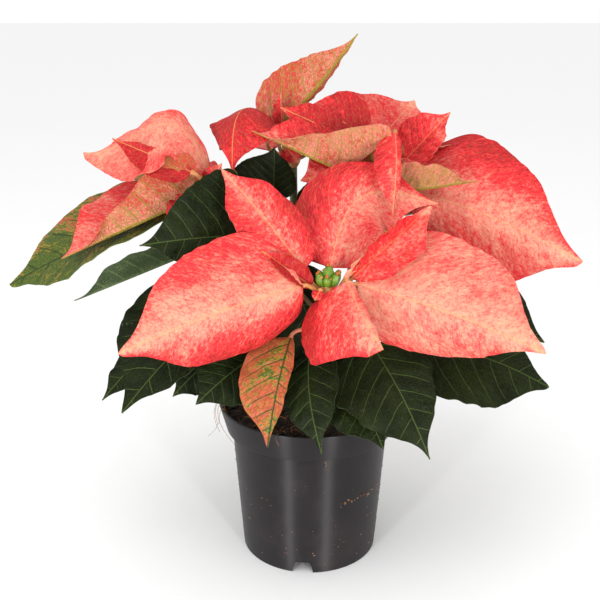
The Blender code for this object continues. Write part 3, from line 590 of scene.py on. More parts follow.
def blade_sides(points, across, ahead, count, fade, s, t, style, seed):
    """The upper and lower surface of a blade about its middle one."""
    up = blade_normals(points)
    height = mm(style.relief) * relief(count, across, ahead, fade, seed)
    groove = mm(style.rib) * (1 - s[:, None]) ** 0.5 * np.exp(-(across / 1.3) ** 2)
    veins = np.clip(1 - abs(count - np.round(count)) / 0.06, 0, 1) * fade
    thick = mm(style.thickness) * (1.3 - 0.6 * abs(t)[None])
    upper = points + up * (height - 0.35 * groove + thick / 2)[..., None]
    lower = points + up * (height - groove - 0.3 * veins - thick / 2)[..., None]
    return upper, lower


def redness(blade, s, t):
    """How red a blade is at each point of its grid, less so towards its tip."""
    margin = abs(t)[None] ** 1.1
    red = np.take(blade.red, (t > 0).astype(int)) * margin + blade.depth * (1 - margin)
    return np.minimum(red * (1.2 - 0.45 * smooth(s, 0.35, 1.0))[:, None], 1.8)


def blade_maps(fields):
    """Map values of a stalk and of both sides of its blade, from pairs of grids."""
    maps = {}
    for name, pair in fields.items():
        grid = np.stack(pair, -1)
        grid = np.concatenate([grid, grid[:, ::-1]], axis=1)
        first = np.broadcast_to(grid[:1], (STALK_ROWS,) + grid.shape[1:])
        maps[name] = np.concatenate([first, grid])
    return maps


def add_blade(skin, blade, root, leave, style, seed):
    """Add one blade with its stalk: slots 0, 1 and 2 are its upper side, its underside and its stalk."""
    s, t = blade_places()
    points, across, ahead, count, fade = blade_grid(blade, s, t, style, seed)
    upper, lower = blade_sides(points, across, ahead, count, fade, s, t, style, seed)
    stalk = stalk_rings(blade, root, leave, mm(style.stalk_radius), COLUMNS + 1)
    rings = np.concatenate([stalk, np.concatenate([upper, lower[:, ::-1]], axis=1)])
    fields = {
        "span": (np.broadcast_to(s[:, None], across.shape), np.broadcast_to(t[None], across.shape)),
        "grain": (ahead / GRAIN_STEP, across / GRAIN_STEP),
        "laterals": (count, across / GRAIN_STEP),
        "tone": (redness(blade, s, t), np.full_like(across, seed)),
    }
    sides = rings.shape[1]
    row = [0] * COLUMNS + [1] * (sides - COLUMNS)
    finishes = [2] * (STALK_ROWS * sides) + row * ROWS + [2, 1]
    skin.add(rings, ring_faces(len(rings), sides), finishes, blade_maps(fields))


def shoot_curve(name):
    """Bezier points of one shoot's centre line, from inside the fork to its head."""
    x, y, z = HEAD_HUBS[name]
    top = np.array((x, y, z - GAP), float)
    foot = np.array((0, 0, FORK_HEIGHT - 10), float)
    rise = np.linalg.norm(top - foot)
    lift = np.array((0, 0, rise * 0.35))
    return foot, foot + np.array((x, y, 0)) * 0.5 + lift, top - lift, top


def shoot_mark(name, height):
    """Where along a shoot's curve it passes a height."""
    marks = np.linspace(0, 1, 400)
    heights = bezier(shoot_curve(name), marks)[:, 2]
    return float(np.interp(height, heights, marks))


def leaf_root(shoot, height, base):
    """Where a leaf's stalk starts on its shoot, and the direction in which it leaves."""
    curve = shoot_curve(shoot)
    mark = shoot_mark(shoot, height)
    centre, above = bezier(curve, np.array([mark, mark + 0.01]))
    leave = normal_part(np.array(base, float) - centre, unit(above - centre))
    return centre, leave


class Recipe:
    """One material's node tree, with short calls for the nodes that it is mixed from."""

    def __init__(self, name):
        self.material = bpy.data.materials.new(name)
        self.material.use_nodes = True
        self.tree = self.material.node_tree
        self.shader = self.tree.nodes["Principled BSDF"]

    def put(self, socket, value):
        """Link an output to a socket, or set the socket's own value."""
        if isinstance(value, bpy.types.NodeSocket):
            self.tree.links.new(value, socket)
        elif socket.type == "RGBA":
            socket.default_value = (*value[:3], 1.0)
        else:
            socket.default_value = value

    def node(self, kind, inputs=(), **settings):
        """Add a node with its settings, and fill its inputs by name or number."""
        made = self.tree.nodes.new(kind)
        for label, value in settings.items():
            setattr(made, label, value)
        for key, value in dict(inputs).items():
            self.put(made.inputs[key], value)
        return made

    def math(self, operation, a, b=0.0, c=0.0):
        """Arithmetic on one, two or three numbers."""
        return self.node("ShaderNodeMath", {0: a, 1: b, 2: c}, operation=operation).outputs[0]

    def step(self, value, low, high, to_low=0.0, to_high=1.0, interpolation="SMOOTHSTEP"):
        """Soft step of a value between two limits."""
        inputs = {"Value": value, "From Min": low, "From Max": high, "To Min": to_low, "To Max": to_high}
        return self.node("ShaderNodeMapRange", inputs, interpolation_type=interpolation).outputs["Result"]

    def ramp(self, value, stops):
        """Colour that runs through stops, each a place from 0 to 1 with its colour."""
        made = self.node("ShaderNodeValToRGB", {0: value})
        band = made.color_ramp
        while len(band.elements) < len(stops):
            band.elements.new(0.5)
        for element, (place, shade) in zip(band.elements, stops):
            element.position = place
            element.color = (*shade[:3], 1.0)
        return made.outputs["Color"]

    def mix(self, share, a, b, blend="MIX"):
        """Mix two colours."""
        made = self.node("ShaderNodeMix", data_type="RGBA", blend_type=blend)
        for index, value in ((0, share), (6, a), (7, b)):
            self.put(made.inputs[index], value)
        return made.outputs[2]

    def tint(self, colour, shade, *masks):
        """Mix a shade into a colour through masks, each with its share."""
        for mask, share in masks:
            colour = self.mix(self.math("MULTIPLY", mask, share), colour, shade)
        return colour

    def map(self, name):
        """The two values of one of the mesh's maps."""
        uv = self.node("ShaderNodeUVMap", uv_map=name).outputs[0]
        parts = self.node("ShaderNodeSeparateXYZ", {0: uv}).outputs
        return parts[0], parts[1]

    def vector(self, x, y, z=0.0):
        """Three numbers as one vector."""
        return self.node("ShaderNodeCombineXYZ", {0: x, 1: y, 2: z}).outputs[0]

    def noise(self, vector, scale, detail=3.0, roughness=0.55, distortion=0.0):
        """Cloudy noise from 0 to 1."""
        inputs = {"Vector": vector, "Scale": scale, "Detail": detail, "Roughness": roughness,
                  "Distortion": distortion}
        return self.node("ShaderNodeTexNoise", inputs).outputs["Fac"]

    def cells(self, vector, scale, feature="DISTANCE_TO_EDGE"):
        """Distance from the walls of random cells."""
        inputs = {"Vector": vector, "Scale": scale}
        return self.node("ShaderNodeTexVoronoi", inputs, feature=feature).outputs["Distance"]

    def place(self):
        """Position on the piece, in metres from the pot's axis."""
        return self.node("ShaderNodeTexCoord").outputs["Object"]

    def bump(self, height, strength, distance):
        """Bump on the shader's normal; distance is in metres."""
        inputs = {"Height": height, "Strength": strength, "Distance": distance}
        self.put(self.shader.inputs["Normal"], self.node("ShaderNodeBump", inputs).outputs[0])

    def finish(self, colour, roughness, **sockets):
        """Set the shader's colour, roughness and other sockets, and hand back the material."""
        self.put(self.shader.inputs["Base Color"], colour)
        self.put(self.shader.inputs["Roughness"], roughness)
        for label, value in sockets.items():
            self.put(self.shader.inputs[label.replace("_", " ")], value)
        return self.material


def vein_masks(recipe, lateral_width, rib_width, net_width):
    """Masks of a blade's midrib, its side veins and the fine net between them."""
    ahead, across = recipe.map("grain")
    count = recipe.map("laterals")[0]
    t = recipe.map("span")[1]
    away = recipe.math("ABSOLUTE", across)
    rib = recipe.step(away, rib_width, rib_width * 0.35)
    wander = recipe.noise(recipe.vector(ahead, across), 1.6, 2.0)
    count = recipe.math("ADD", count, recipe.math("MULTIPLY", wander, 0.16))
    near = recipe.math("ABSOLUTE", recipe.math("SUBTRACT", count, recipe.math("ROUND", count)))
    side = recipe.step(near, lateral_width, lateral_width * 0.3)
    side = recipe.math("MULTIPLY", side, recipe.step(recipe.math("ABSOLUTE", t), 1.0, 0.7))
    net = recipe.cells(recipe.vector(recipe.math("MULTIPLY", ahead, 1.3), across), 3.4)
    return rib, side, recipe.step(net, net_width, 0.0)


def grain_vector(recipe, along_scale, across_scale):
    """Coordinates that lean half-way towards the side veins, shifted by each blade's seed."""
    ahead, across = recipe.map("grain")
    seed = recipe.map("tone")[1]
    ahead = recipe.math("MULTIPLY_ADD", recipe.math("ABSOLUTE", across), LATERAL_SLOPE * 0.6, ahead)
    return recipe.vector(recipe.math("MULTIPLY", ahead, along_scale),
                         recipe.math("MULTIPLY", across, across_scale),
                         recipe.math("MULTIPLY", seed, 40.0))


def marbling(recipe, patch_share, fleck_share):
    """How red a blade is at each point: its own share, moved by patches, blots and fine flecks."""
    red = recipe.map("tone")[0]
    value = recipe.math("MULTIPLY_ADD", red, 1.12, 0.1)
    contrast = recipe.math("MULTIPLY_ADD", red, 0.5, 0.85)
    for along_scale, across_scale, patches, flecks in MARBLING:
        share = patches * patch_share + flecks * fleck_share
        cloud = recipe.noise(grain_vector(recipe, along_scale, across_scale), 1.0, 2.0, 0.6)
        move = recipe.math("MULTIPLY_ADD", cloud, share, -share / 2)
        value = recipe.math("MULTIPLY_ADD", move, contrast, value)
    return value


def bract_upper(settings):
    """Marbled bract: pale salmon with cream flecks that turns to pink and red at its margins."""
    recipe = Recipe("bract_upper")
    rib, side, net = vein_masks(recipe, 0.03, 0.045, 0.1)
    value = marbling(recipe, 1.2, 1.5)
    tip = recipe.math("MULTIPLY", recipe.step(recipe.map("span")[0], 0.8, 1.0), 0.2)
    value = recipe.math("SUBTRACT", value, tip)
    stops = ((0.05, settings.pale), (0.28, settings.light), (0.45, settings.salmon),
             (0.6, settings.blush), (0.72, settings.red), (0.86, settings.red),
             (1.0, settings.crimson))
    colour = recipe.ramp(recipe.step(value, -0.25, 1.6, interpolation="LINEAR"), stops)
    colour = recipe.tint(colour, settings.cream, (net, 0.12), (side, 0.16), (rib, 0.5))
    recipe.bump(recipe.math("SUBTRACT", recipe.math("MULTIPLY", value, 0.15), net), 0.3, 0.0005)
    return recipe.finish(colour, 0.55, Subsurface_Weight=0.1, Subsurface_Scale=0.003,
                         Specular_IOR_Level=0.2)


def bract_under(settings):
    """Underside of a bract: tan and pink, with a raised yellow-green rib, side veins and net."""
    recipe = Recipe("bract_under")
    rib, side, net = vein_masks(recipe, 0.06, 0.12, 0.17)
    value = marbling(recipe, 1.2, 1.2)
    stops = ((0.25, settings.under), (0.6, settings.under_pink), (0.95, settings.under_red))
    colour = recipe.ramp(recipe.step(value, 0.0, 1.25, interpolation="LINEAR"), stops)
    colour = recipe.tint(colour, settings.under_vein, (net, 0.6), (side, 0.8), (rib, 1.0))
    recipe.bump(recipe.math("MAXIMUM", recipe.math("MULTIPLY", net, 0.6), side), 0.6, 0.0008)
    return recipe.finish(colour, 0.6, Subsurface_Weight=0.1, Subsurface_Scale=0.003,
                         Specular_IOR_Level=0.3)


def leaf_green(settings):
    """Upper side of a green leaf: near-black green with thin light veins and a low sheen."""
    recipe = Recipe("leaf_upper")
    rib, side, net = vein_masks(recipe, 0.022, 0.045, 0.08)
    clouds = recipe.noise(grain_vector(recipe, 0.7, 0.6), 1.0, 4.0, 0.6)
    colour = recipe.mix(recipe.step(clouds, 0.35, 0.68), settings.green, settings.deep)
    colour = recipe.tint(colour, settings.vein, (net, 0.1), (side, 0.75), (rib, 0.6))
    grain = recipe.noise(grain_vector(recipe, 11.0, 8.0), 1.0, 3.0, 0.7)
    recipe.bump(recipe.math("SUBTRACT", recipe.math("MULTIPLY", grain, 0.3), net), 0.45, 0.0006)
    rough = recipe.step(clouds, 0.3, 0.7, settings.roughness - 0.05, settings.roughness + 0.08)
    return recipe.finish(colour, rough, Specular_IOR_Level=0.09)


def leaf_turning(settings):
    """Upper side of a turning leaf: olive that goes yellow and rust-red, with dark green veins."""
    recipe = Recipe("turning_upper")
    rib, side, net = vein_masks(recipe, 0.06, 0.07, 0.12)
    value = marbling(recipe, 1.6, 1.5)
    stops = ((0.3, settings.olive), (0.55, settings.lime), (0.72, settings.amber), (0.95, settings.rust))
    colour = recipe.ramp(value, stops)
    colour = recipe.tint(colour, settings.turning_vein, (net, 0.4), (side, 0.85), (rib, 0.9))
    recipe.bump(recipe.math("SUBTRACT", 0.0, recipe.math("MAXIMUM", net, side)), 0.4, 0.0006)
    return recipe.finish(colour, settings.roughness, Specular_IOR_Level=0.2)


def leaf_under(name, ground, vein):
    """Underside of a leaf: paler and dull, with raised veins."""
    recipe = Recipe(name)
    rib, side, net = vein_masks(recipe, 0.08, 0.13, 0.14)
    clouds = recipe.noise(grain_vector(recipe, 0.8, 0.8), 1.0, 3.0)
    colour = recipe.mix(recipe.step(clouds, 0.3, 0.75, 0.0, 0.35), ground, vein)
    colour = recipe.tint(colour, vein, (net, 0.3), (recipe.math("MAXIMUM", rib, side), 0.8))
    recipe.bump(recipe.math("MAXIMUM", net, side), 0.5, 0.0007)
    return recipe.finish(colour, 0.6, Specular_IOR_Level=0.3)


def stalk_skin(name, green, flush):
    """Skin of a stalk or stem: green with a flush of another colour, and fine ribs along it."""
    recipe = Recipe(name)
    s, t = recipe.map("span")
    vector = recipe.vector(recipe.math("MULTIPLY", s, 6.0), recipe.math("MULTIPLY", t, 5.0))
    blush = recipe.noise(vector, 0.8, 3.0)
    colour = recipe.mix(recipe.step(blush, 0.35, 0.65), green, flush)
    ribs = recipe.noise(recipe.vector(s, recipe.math("MULTIPLY", t, 14.0)), 1.0, 2.0)
    recipe.bump(ribs, 0.4, 0.0005)
    return recipe.finish(colour, 0.5)


def cup_skin(settings):
    """Skin of a flower cup: bright green with a paler mouth."""
    recipe = Recipe("cup_skin")
    s = recipe.map("span")[0]
    clouds = recipe.noise(recipe.place(), 400.0, 3.0)
    colour = recipe.mix(recipe.step(clouds, 0.35, 0.7), settings.colour, settings.shade)
    colour = recipe.mix(recipe.step(s, 0.75, 1.0, 0.0, 0.6), colour, settings.mouth)
    recipe.bump(clouds, 0.25, 0.0004)
    return recipe.finish(colour, 0.38, Subsurface_Weight=0.1, Subsurface_Scale=0.002)


def cup_detail(name, colour, shade, roughness):
    """Waxy gland or stamen tip in two close colours."""
    recipe = Recipe(name)
    clouds = recipe.noise(recipe.place(), 900.0, 2.0)
    return recipe.finish(recipe.mix(recipe.step(clouds, 0.35, 0.7), colour, shade), roughness)


def pot_plastic(settings):
    """Satin moulded plastic with faint turning lines, dust and dried peat splashes."""
    recipe = Recipe("pot_plastic")
    place = recipe.place()
    parts = recipe.node("ShaderNodeSeparateXYZ", {0: place}).outputs
    dust = recipe.noise(place, 30.0, 5.0, 0.65)
    low = recipe.step(parts[2], 0.06, 0.0)
    share = recipe.step(recipe.math("ADD", dust, recipe.math("MULTIPLY", low, 0.12)), 0.45, 0.8)
    colour = recipe.mix(share, settings.colour, settings.dust)
    smear = recipe.step(recipe.noise(place, 160.0, 5.0, 0.75), 0.64, 0.76)
    smear = recipe.math("MULTIPLY", smear, recipe.step(parts[2], 0.05, 0.0, 0.1, 0.7))
    colour = recipe.mix(smear, colour, settings.splash)
    lines = recipe.noise(recipe.vector(0.0, 0.0, parts[2]), 900.0, 2.0)
    fine = recipe.noise(place, 900.0, 2.0)
    recipe.bump(recipe.math("ADD", lines, recipe.math("MULTIPLY", fine, 0.6)), 0.14, 0.0004)
    round_axis = recipe.node("ShaderNodeTangent", direction_type="RADIAL", axis="Z").outputs[0]
    rough = recipe.step(dust, 0.35, 0.75, settings.roughness, settings.roughness + 0.12)
    return recipe.finish(colour, rough, Specular_IOR_Level=0.42, Tangent=round_axis,
                         Anisotropic=0.95, Anisotropic_Rotation=0.25)


def peat_ground(name, dark, light, scale):
    """Crumbly peat: near-black with warm brown crumbs."""
    recipe = Recipe(name)
    place = recipe.place()
    clouds = recipe.noise(place, scale, 6.0, 0.7)
    grains = recipe.cells(place, scale * 3, "F1")
    colour = recipe.mix(recipe.step(clouds, 0.42, 0.75), dark, light)
    recipe.bump(recipe.math("SUBTRACT", clouds, recipe.math("MULTIPLY", grains, 0.5)), 0.9, 0.0015)
    return recipe.finish(colour, 0.92)


def fibre_skin(name, dark, light):
    """Dry root or coir fibre."""
    recipe = Recipe(name)
    clouds = recipe.noise(recipe.place(), 260.0, 3.0)
    return recipe.finish(recipe.mix(recipe.step(clouds, 0.35, 0.65), dark, light), 0.8)


def number(name, description, default, least=0.0, **more):
    """A setting that is a plain number, or has the unit or subtype given."""
    return bpy.props.FloatProperty(name=name, description=description, default=default, min=least,
                                   **more)


def length(name, description, default, least=0.0):
    """A length setting, in metres."""
    return number(name, description, default, least, subtype="DISTANCE", unit="LENGTH", precision=5)


def share(name, description, default):
    """A setting from 0 to 1."""
    return number(name, description, default, max=1.0, subtype="FACTOR")


def angle(name, description, degrees):
    """An angle setting."""
    return number(name, description, math.radians(degrees), -math.pi, subtype="ANGLE")


def power(name, description, default):
    """A lamp's power, in watts."""
    return number(name, description, default, subtype="POWER", unit="POWER")


def amount(name, description, default):
    """A whole number of like things."""
    return bpy.props.IntProperty(name=name, description=description, default=default, min=1)


def colour(name, description, default):
    """A colour setting."""
    return bpy.props.FloatVectorProperty(name=name, description=description, default=default, size=3,
                                         min=0.0, max=1.0, subtype="COLOR")


class BladeSettings(bpy.types.PropertyGroup):
    """Section and relief of a blade, with a bract's number of side veins."""
    thickness: length("Thickness", "Mean thickness of the blade", 0.0005)
    relief: length("Relief", "Height of the pillows between the side veins", 0.0007)
    rib: length("Midrib", "How far the midrib stands out below the blade", 0.0012)
    ruffle: length("Ruffle", "Height of the loose waves in the margin", 0.0012)
    stalk_radius: length("Stalk radius", "Radius of the stalk", 0.0013)
    laterals: number("Side veins", "Side veins on each half of a blade", 8.5, 1.0)
    scallop: share("Scallop", "Depth of the margin's scallops, as a share of the half width", 0.012)


class LeafSettings(BladeSettings):
    """Section and relief of a leaf, which has fewer side veins than a bract."""
    laterals: number("Side veins", "Side veins on each half of a leaf", 6.5, 1.0)


class BractColours(bpy.types.PropertyGroup):
    """Colours of the marbled bracts."""
    pale: colour("Pale", "Palest flecks", (0.68, 0.32, 0.20))
    light: colour("Light", "Light ground", (0.67, 0.22, 0.155))
    salmon: colour("Salmon", "Main ground", (0.65, 0.125, 0.10))
    blush: colour("Blush", "Pink between ground and red", (0.65, 0.055, 0.052))
    red: colour("Red", "Red patches", (0.63, 0.015, 0.026))
    # Crimson also colours the whole of a bract with high red and depth; there it is partly painted shade.
    crimson: colour("Crimson", "Darkest flecks", (0.36, 0.006, 0.012))
    cream: colour("Cream", "Veins and midrib", (0.60, 0.32, 0.10))
    under: colour("Underside", "Ground of the underside", (0.42, 0.20, 0.07))
    under_pink: colour("Underside pink", "Flush of the underside", (0.60, 0.18, 0.13))
    under_red: colour("Underside red", "Red flecks of the underside", (0.48, 0.035, 0.03))
    under_vein: colour("Underside veins", "Veins of the underside", (0.28, 0.19, 0.025))
    stalk: colour("Stalk", "Stalk's green", (0.40, 0.32, 0.07))
    stalk_flush: colour("Stalk flush", "Stalk's red", (0.60, 0.08, 0.05))


class LeafColours(bpy.types.PropertyGroup):
    """Colours of the green and the turning leaves."""
    green: colour("Green", "Main green", (0.010, 0.015, 0.003))
    deep: colour("Deep green", "Darker clouds", (0.004, 0.007, 0.0015))
    vein: colour("Veins", "Veins of the upper side", (0.075, 0.115, 0.028))
    under: colour("Underside", "Dull underside", (0.030, 0.050, 0.018))
    under_vein: colour("Underside veins", "Veins of the underside", (0.09, 0.13, 0.045))
    olive: colour("Olive", "Greenest ground of a turning leaf", (0.055, 0.085, 0.010))
    lime: colour("Lime", "Yellow-green ground of a turning leaf", (0.12, 0.13, 0.012))
    amber: colour("Amber", "Yellow ground of a turning leaf", (0.30, 0.19, 0.03))
    rust: colour("Rust", "Red flush of a turning leaf", (0.40, 0.08, 0.03))
    turning_vein: colour("Turning veins", "Dark veins of a turning leaf", (0.015, 0.035, 0.006))
    stalk: colour("Stalk", "Stalk's green", (0.09, 0.12, 0.03))
    stalk_flush: colour("Stalk flush", "Stalk's red", (0.25, 0.06, 0.04))
    turning_stalk: colour("Turning stalk", "Pink stalk of a turning leaf", (0.60, 0.20, 0.13))
    roughness: share("Roughness", "Roughness of the upper skin", 0.42)


class StemSettings(bpy.types.PropertyGroup):
    """The trunk and its shoots."""
    trunk_radius: length("Trunk radius", "Radius of the trunk at the peat", 0.005)
    shoot_radius: length("Shoot radius", "Radius of a shoot at its foot", 0.0034)
    shoot_top_radius: length("Shoot top radius", "Radius of a shoot below its head", 0.0027)
    green: colour("Green", "Young shoots", (0.10, 0.15, 0.04))
    bark: colour("Bark", "Woody flush", (0.14, 0.09, 0.05))


class CupSettings(bpy.types.PropertyGroup):
    """The small flower cups in the middle of each head."""
    radius: length("Radius", "Radius of the largest cup", 0.0036)
    height: length("Height", "Height of the largest cup", 0.0100)
    outer: amount("Outer cups", "Cups round the middle one", 6)
    colour: colour("Green", "Skin of the cups", (0.14, 0.25, 0.015))
    shade: colour("Shade", "Darker clouds", (0.06, 0.14, 0.01))
    mouth: colour("Mouth", "Paler mouth", (0.28, 0.30, 0.05))
    gland: colour("Gland", "Waxy gland", (0.45, 0.17, 0.02))
    stamen: colour("Stamens", "Stamen tips", (0.55, 0.10, 0.03))


class PotSettings(bpy.types.PropertyGroup):
    """The moulded nursery pot."""
    height: length("Height", "Height to the lip", 0.104)
    rim_radius: length("Rim radius", "Outer radius at the lip", 0.060)
    rim_band: length("Rim band", "Height of the band below the lip", 0.0183)
    band_foot_radius: length("Band foot radius", "Outer radius at the band's lower edge", 0.055)
    wall_top_radius: length("Wall radius", "Outer radius of the wall below the band", 0.0514)
    foot_radius: length("Foot radius", "Outer radius at the foot", 0.045)
    wall: length("Wall", "Wall thickness", 0.0012)
    skirt: length("Skirt", "Height of the foot skirt below the floor", 0.0085)
    notch_width: length("Notch width", "Width of a notch in the skirt", 0.011)
    notch_height: length("Notch height", "Height of a notch in the skirt", 0.008)
    notch_turn: angle("Notch turn", "Turn of the first notch from straight ahead", -6)
    drain_radius: length("Drain radius", "Radius of a drain hole", 0.0045)
    drain_circle: length("Drain circle", "Distance of the drain holes from the axis", 0.033)
    colour: colour("Plastic", "Dark warm grey", (0.004, 0.002, 0.003))
    dust: colour("Dust", "Lighter, dusty grey", (0.016, 0.012, 0.013))
    splash: colour("Splashes", "Dried peat splashes", (0.22, 0.11, 0.05))
    roughness: share("Roughness", "Roughness of clean plastic", 0.4)


class PeatSettings(bpy.types.PropertyGroup):
    """The peat that fills the pot, with its crumbs and fibres."""
    top: length("Top", "Height of the peat's surface", 0.097)
    crumbs: amount("Crumbs", "Loose crumbs on the peat", 420)
    fibres: amount("Fibres", "Fibres on the peat", 170)
    dark: colour("Dark", "Wet peat", (0.012, 0.008, 0.006))
    light: colour("Light", "Dry crumbs", (0.10, 0.045, 0.02))
    splash: colour("Splashes", "Crumbs dried on to the pot", (0.24, 0.13, 0.07))
    fibre_dark: colour("Fibre dark", "Dark fibres", (0.10, 0.035, 0.012))
    fibre_light: colour("Fibre light", "Light fibres", (0.38, 0.17, 0.06))


class StudioSettings(bpy.types.PropertyGroup):
    """Floor, lights and camera."""
    floor: colour("Floor", "Plain pale floor", (0.92, 0.92, 0.92))
    key: power("Key light", "Power of the large front light", 8.0)
    strip: power("Strip light", "Power of each tall side light", 7.0)
    sky: number("Sky", "Strength of the even light from all round", 1.0)
    lens: number("Lens", "Focal length in millimetres", 54.0)
    distance: length("Distance", "From the pot's axis to the camera, along the floor", 0.549)
    camera_height: length("Camera height", "Height of the camera", 0.346)
    camera_side: length("Camera side", "Camera's place to the right of the pot's axis", -0.0064, -1.0)
    tilt: angle("Tilt", "How far the camera looks down", 17.6)


def seed_of(number):
    """A seed from 0 to 1 that differs from piece to piece."""
    return (FIRST_SEED + number * GOLDEN) % 1.0


def hub_middle(name):
    """Middle of the hub that carries a head's bracts."""
    return np.array(HEAD_HUBS[name], float) + np.array((0, 0, HUB_HEIGHT * 0.55))


class POINSETTIA_OT_bracts(bpy.types.Operator):
    """Grow the marbled bract heads"""
    bl_idname = "poinsettia.bracts"
    bl_label = "Bract heads"

    def execute(self, context):
        settings = context.scene.poinsettia_bracts
        colours = context.scene.poinsettia_bract_colours
        finishes = [bract_upper(colours), bract_under(colours),
                    stalk_skin("bract_stalk", colours.stalk, colours.stalk_flush)]
        number = 0
        for name, blades in HEAD_BRACTS.items():
            skin = Skin()
            hub = np.array(HEAD_HUBS[name], float)
            heights = np.linspace(0, HUB_HEIGHT, 7)
            swell = HUB_RADIUS * (0.55 + 0.45 * np.sin(heights / HUB_HEIGHT * 2.6))
            add_tube(skin, hub + heights[:, None] * np.array((0, 0, 1.0)), swell, 20, 2)
            middle = hub_middle(name)
            for blade in blades:
                away = unit(np.array(blade.base, float) - middle)
                root = middle + away * HUB_RADIUS * 0.3
                leave = away * np.array((1, 1, 0))
                add_blade(skin, blade, root, leave, settings, seed_of(number))
                number += 1
            settle(skin.build(name + "_bracts", finishes), "bract", "bracts_" + name)
        return {"FINISHED"}


class POINSETTIA_OT_leaves(bpy.types.Operator):
    """Grow the green and the turning leaves"""
    bl_idname = "poinsettia.leaves"
    bl_label = "Leaves"

    def execute(self, context):
        settings = context.scene.poinsettia_leaves
        colours = context.scene.poinsettia_leaf_colours
        green = [leaf_green(colours), leaf_under("leaf_under", colours.under, colours.under_vein),
                 stalk_skin("leaf_stalk", colours.stalk, colours.stalk_flush)]
        turning = [leaf_turning(colours),
                   leaf_under("turning_under", colours.under_vein, colours.lime),
                   stalk_skin("turning_stalk", colours.turning_stalk, colours.rust)]
        for number, (name, (shoot, height, blade)) in enumerate(LEAVES.items()):
            skin = Skin()
            root, leave = leaf_root(shoot, height, blade.base)
            add_blade(skin, blade, root, leave, settings, seed_of(number + LEAF_SEEDS))
            is_turning = "turning" in name
            piece = skin.build(name.replace("leaf_", "") + "_leaf", turning if is_turning else green)
            settle(piece, "turning_leaf" if is_turning else "leaf", name)
        return {"FINISHED"}


class POINSETTIA_OT_stems(bpy.types.Operator):
    """Grow the trunk and its shoots"""
    bl_idname = "poinsettia.stems"
    bl_label = "Stems"

    def execute(self, context):
        settings = context.scene.poinsettia_stems
        skin = Skin()
        trunk, shoot = mm(settings.trunk_radius), mm(settings.shoot_radius)
        heights = np.linspace(STEM_HOLE_BOTTOM + GAP, FORK_HEIGHT + 2, 24)
        swell = trunk * (1 + 0.22 * np.exp(-((heights - FORK_HEIGHT + 6) / 5) ** 2))
        swell *= 1 - 0.35 * smooth(heights, FORK_HEIGHT - 3, FORK_HEIGHT + 2)
        centres = np.stack([0 * heights, 0 * heights, heights], -1)
        add_tube(skin, centres, swell, 20, 1)
        for number, name in enumerate(HEAD_HUBS):
            u = np.linspace(0, 1, 48)
            radii = shoot + (mm(settings.shoot_top_radius) - shoot) * u
            for leaf_shoot, height, _ in LEAVES.values():
                if leaf_shoot == name:
                    radii = radii + LEAF_SWELL * np.exp(-((u - shoot_mark(name, height)) / 0.025) ** 2)
            add_tube(skin, bezier(shoot_curve(name), u), radii, 16, 0, seed_of(number))
        finishes = [stalk_skin("shoot_skin", settings.green, settings.bark),
                    stalk_skin("trunk_bark", settings.bark, settings.green)]
        settle(skin.build("woody_stems", finishes), "stems", "stems")
        return {"FINISHED"}


def turned_rings(profile, sides):
    """Rings of a round body from its (radius, height) profile."""
    turn = np.linspace(0, 2 * math.pi, sides, endpoint=False)
    profile = np.asarray(profile, float)
    radius, height = profile[:, :1], np.repeat(profile[:, 1:], sides, axis=1)
    return np.stack([radius * np.cos(turn), radius * np.sin(turn), height], -1)


def add_placed(skin, place, points, faces, finish, maps=None):
    """Add a body whose points are given in the axes of a 4 x 4 matrix."""
    flat = np.asarray(points).reshape(-1, 3)
    skin.add(flat @ place[:3, :3].T + place[:3, 3], faces, finish, maps)


def add_cup_body(skin, place, radius, height, seed):
    """Add the ribbed egg of a flower cup, with its fringed mouth."""
    rings = turned_rings([(radius * r, height * h) for r, h in CUP_SECTION], CUP_SIDES)
    angles = np.linspace(0, 2 * math.pi, CUP_SIDES, endpoint=False)
    rings[..., :2] *= (1 + 0.05 * np.cos(5 * angles + 6 * seed))[None, :, None]
    rings[7:9, ::2, 2] += height * 0.06
    s = np.broadcast_to(np.linspace(0, 1, len(CUP_SECTION))[:, None], rings.shape[:2])
    maps = {"span": np.stack([s, np.broadcast_to(angles[None] / 3.2, rings.shape[:2])], -1)}
    add_placed(skin, place, rings, ring_faces(len(CUP_SECTION), CUP_SIDES), 0, maps)


def add_stamens(skin, place, radius, height, seed):
    """Add the stamen tips that look out of a flower cup."""
    draw = random.Random(int(seed * 1e6))
    bead = turned_rings(STAMEN_SECTION, 8) * (radius / STAMEN_CUP)
    for i in range(STAMENS):
        spin = 2 * math.pi * i / STAMENS + draw.random()
        reach = radius * (0.05 if i == 0 else 0.3)
        rise = height * (1.02 + 0.1 * draw.random())
        tip = np.array((reach * math.cos(spin), reach * math.sin(spin), rise))
        add_placed(skin, place, bead + tip, ring_faces(len(STAMEN_SECTION), 8), 2)


def add_gland(skin, place, radius, height):
    """Add the lipped gland on the side of a flower cup."""
    sides = 14
    rings = turned_rings([(r * radius * 0.3, h * radius * 0.4) for r, h in GLAND_SECTION], sides)
    rings[..., 1] *= 1.5
    lean = np.array(Matrix.Rotation(math.radians(62), 3, "Y"))
    points = rings.reshape(-1, 3) @ lean.T + np.array((radius * 0.72, 0, height * 0.74))
    add_placed(skin, place, points, ring_faces(len(GLAND_SECTION), sides), 1)


def add_cup(skin, foot, lean, turn, radius, height, seed):
    """Add one flower cup with its stamens and its gland."""
    up = Vector((math.sin(lean) * math.cos(turn), math.sin(lean) * math.sin(turn), math.cos(lean)))
    place = np.array(Matrix.Translation(Vector(foot)) @ up.to_track_quat("Z", "Y").to_matrix().to_4x4())
    add_cup_body(skin, place, radius, height, seed)
    add_stamens(skin, place, radius, height, seed)
    add_gland(skin, place, radius, height)


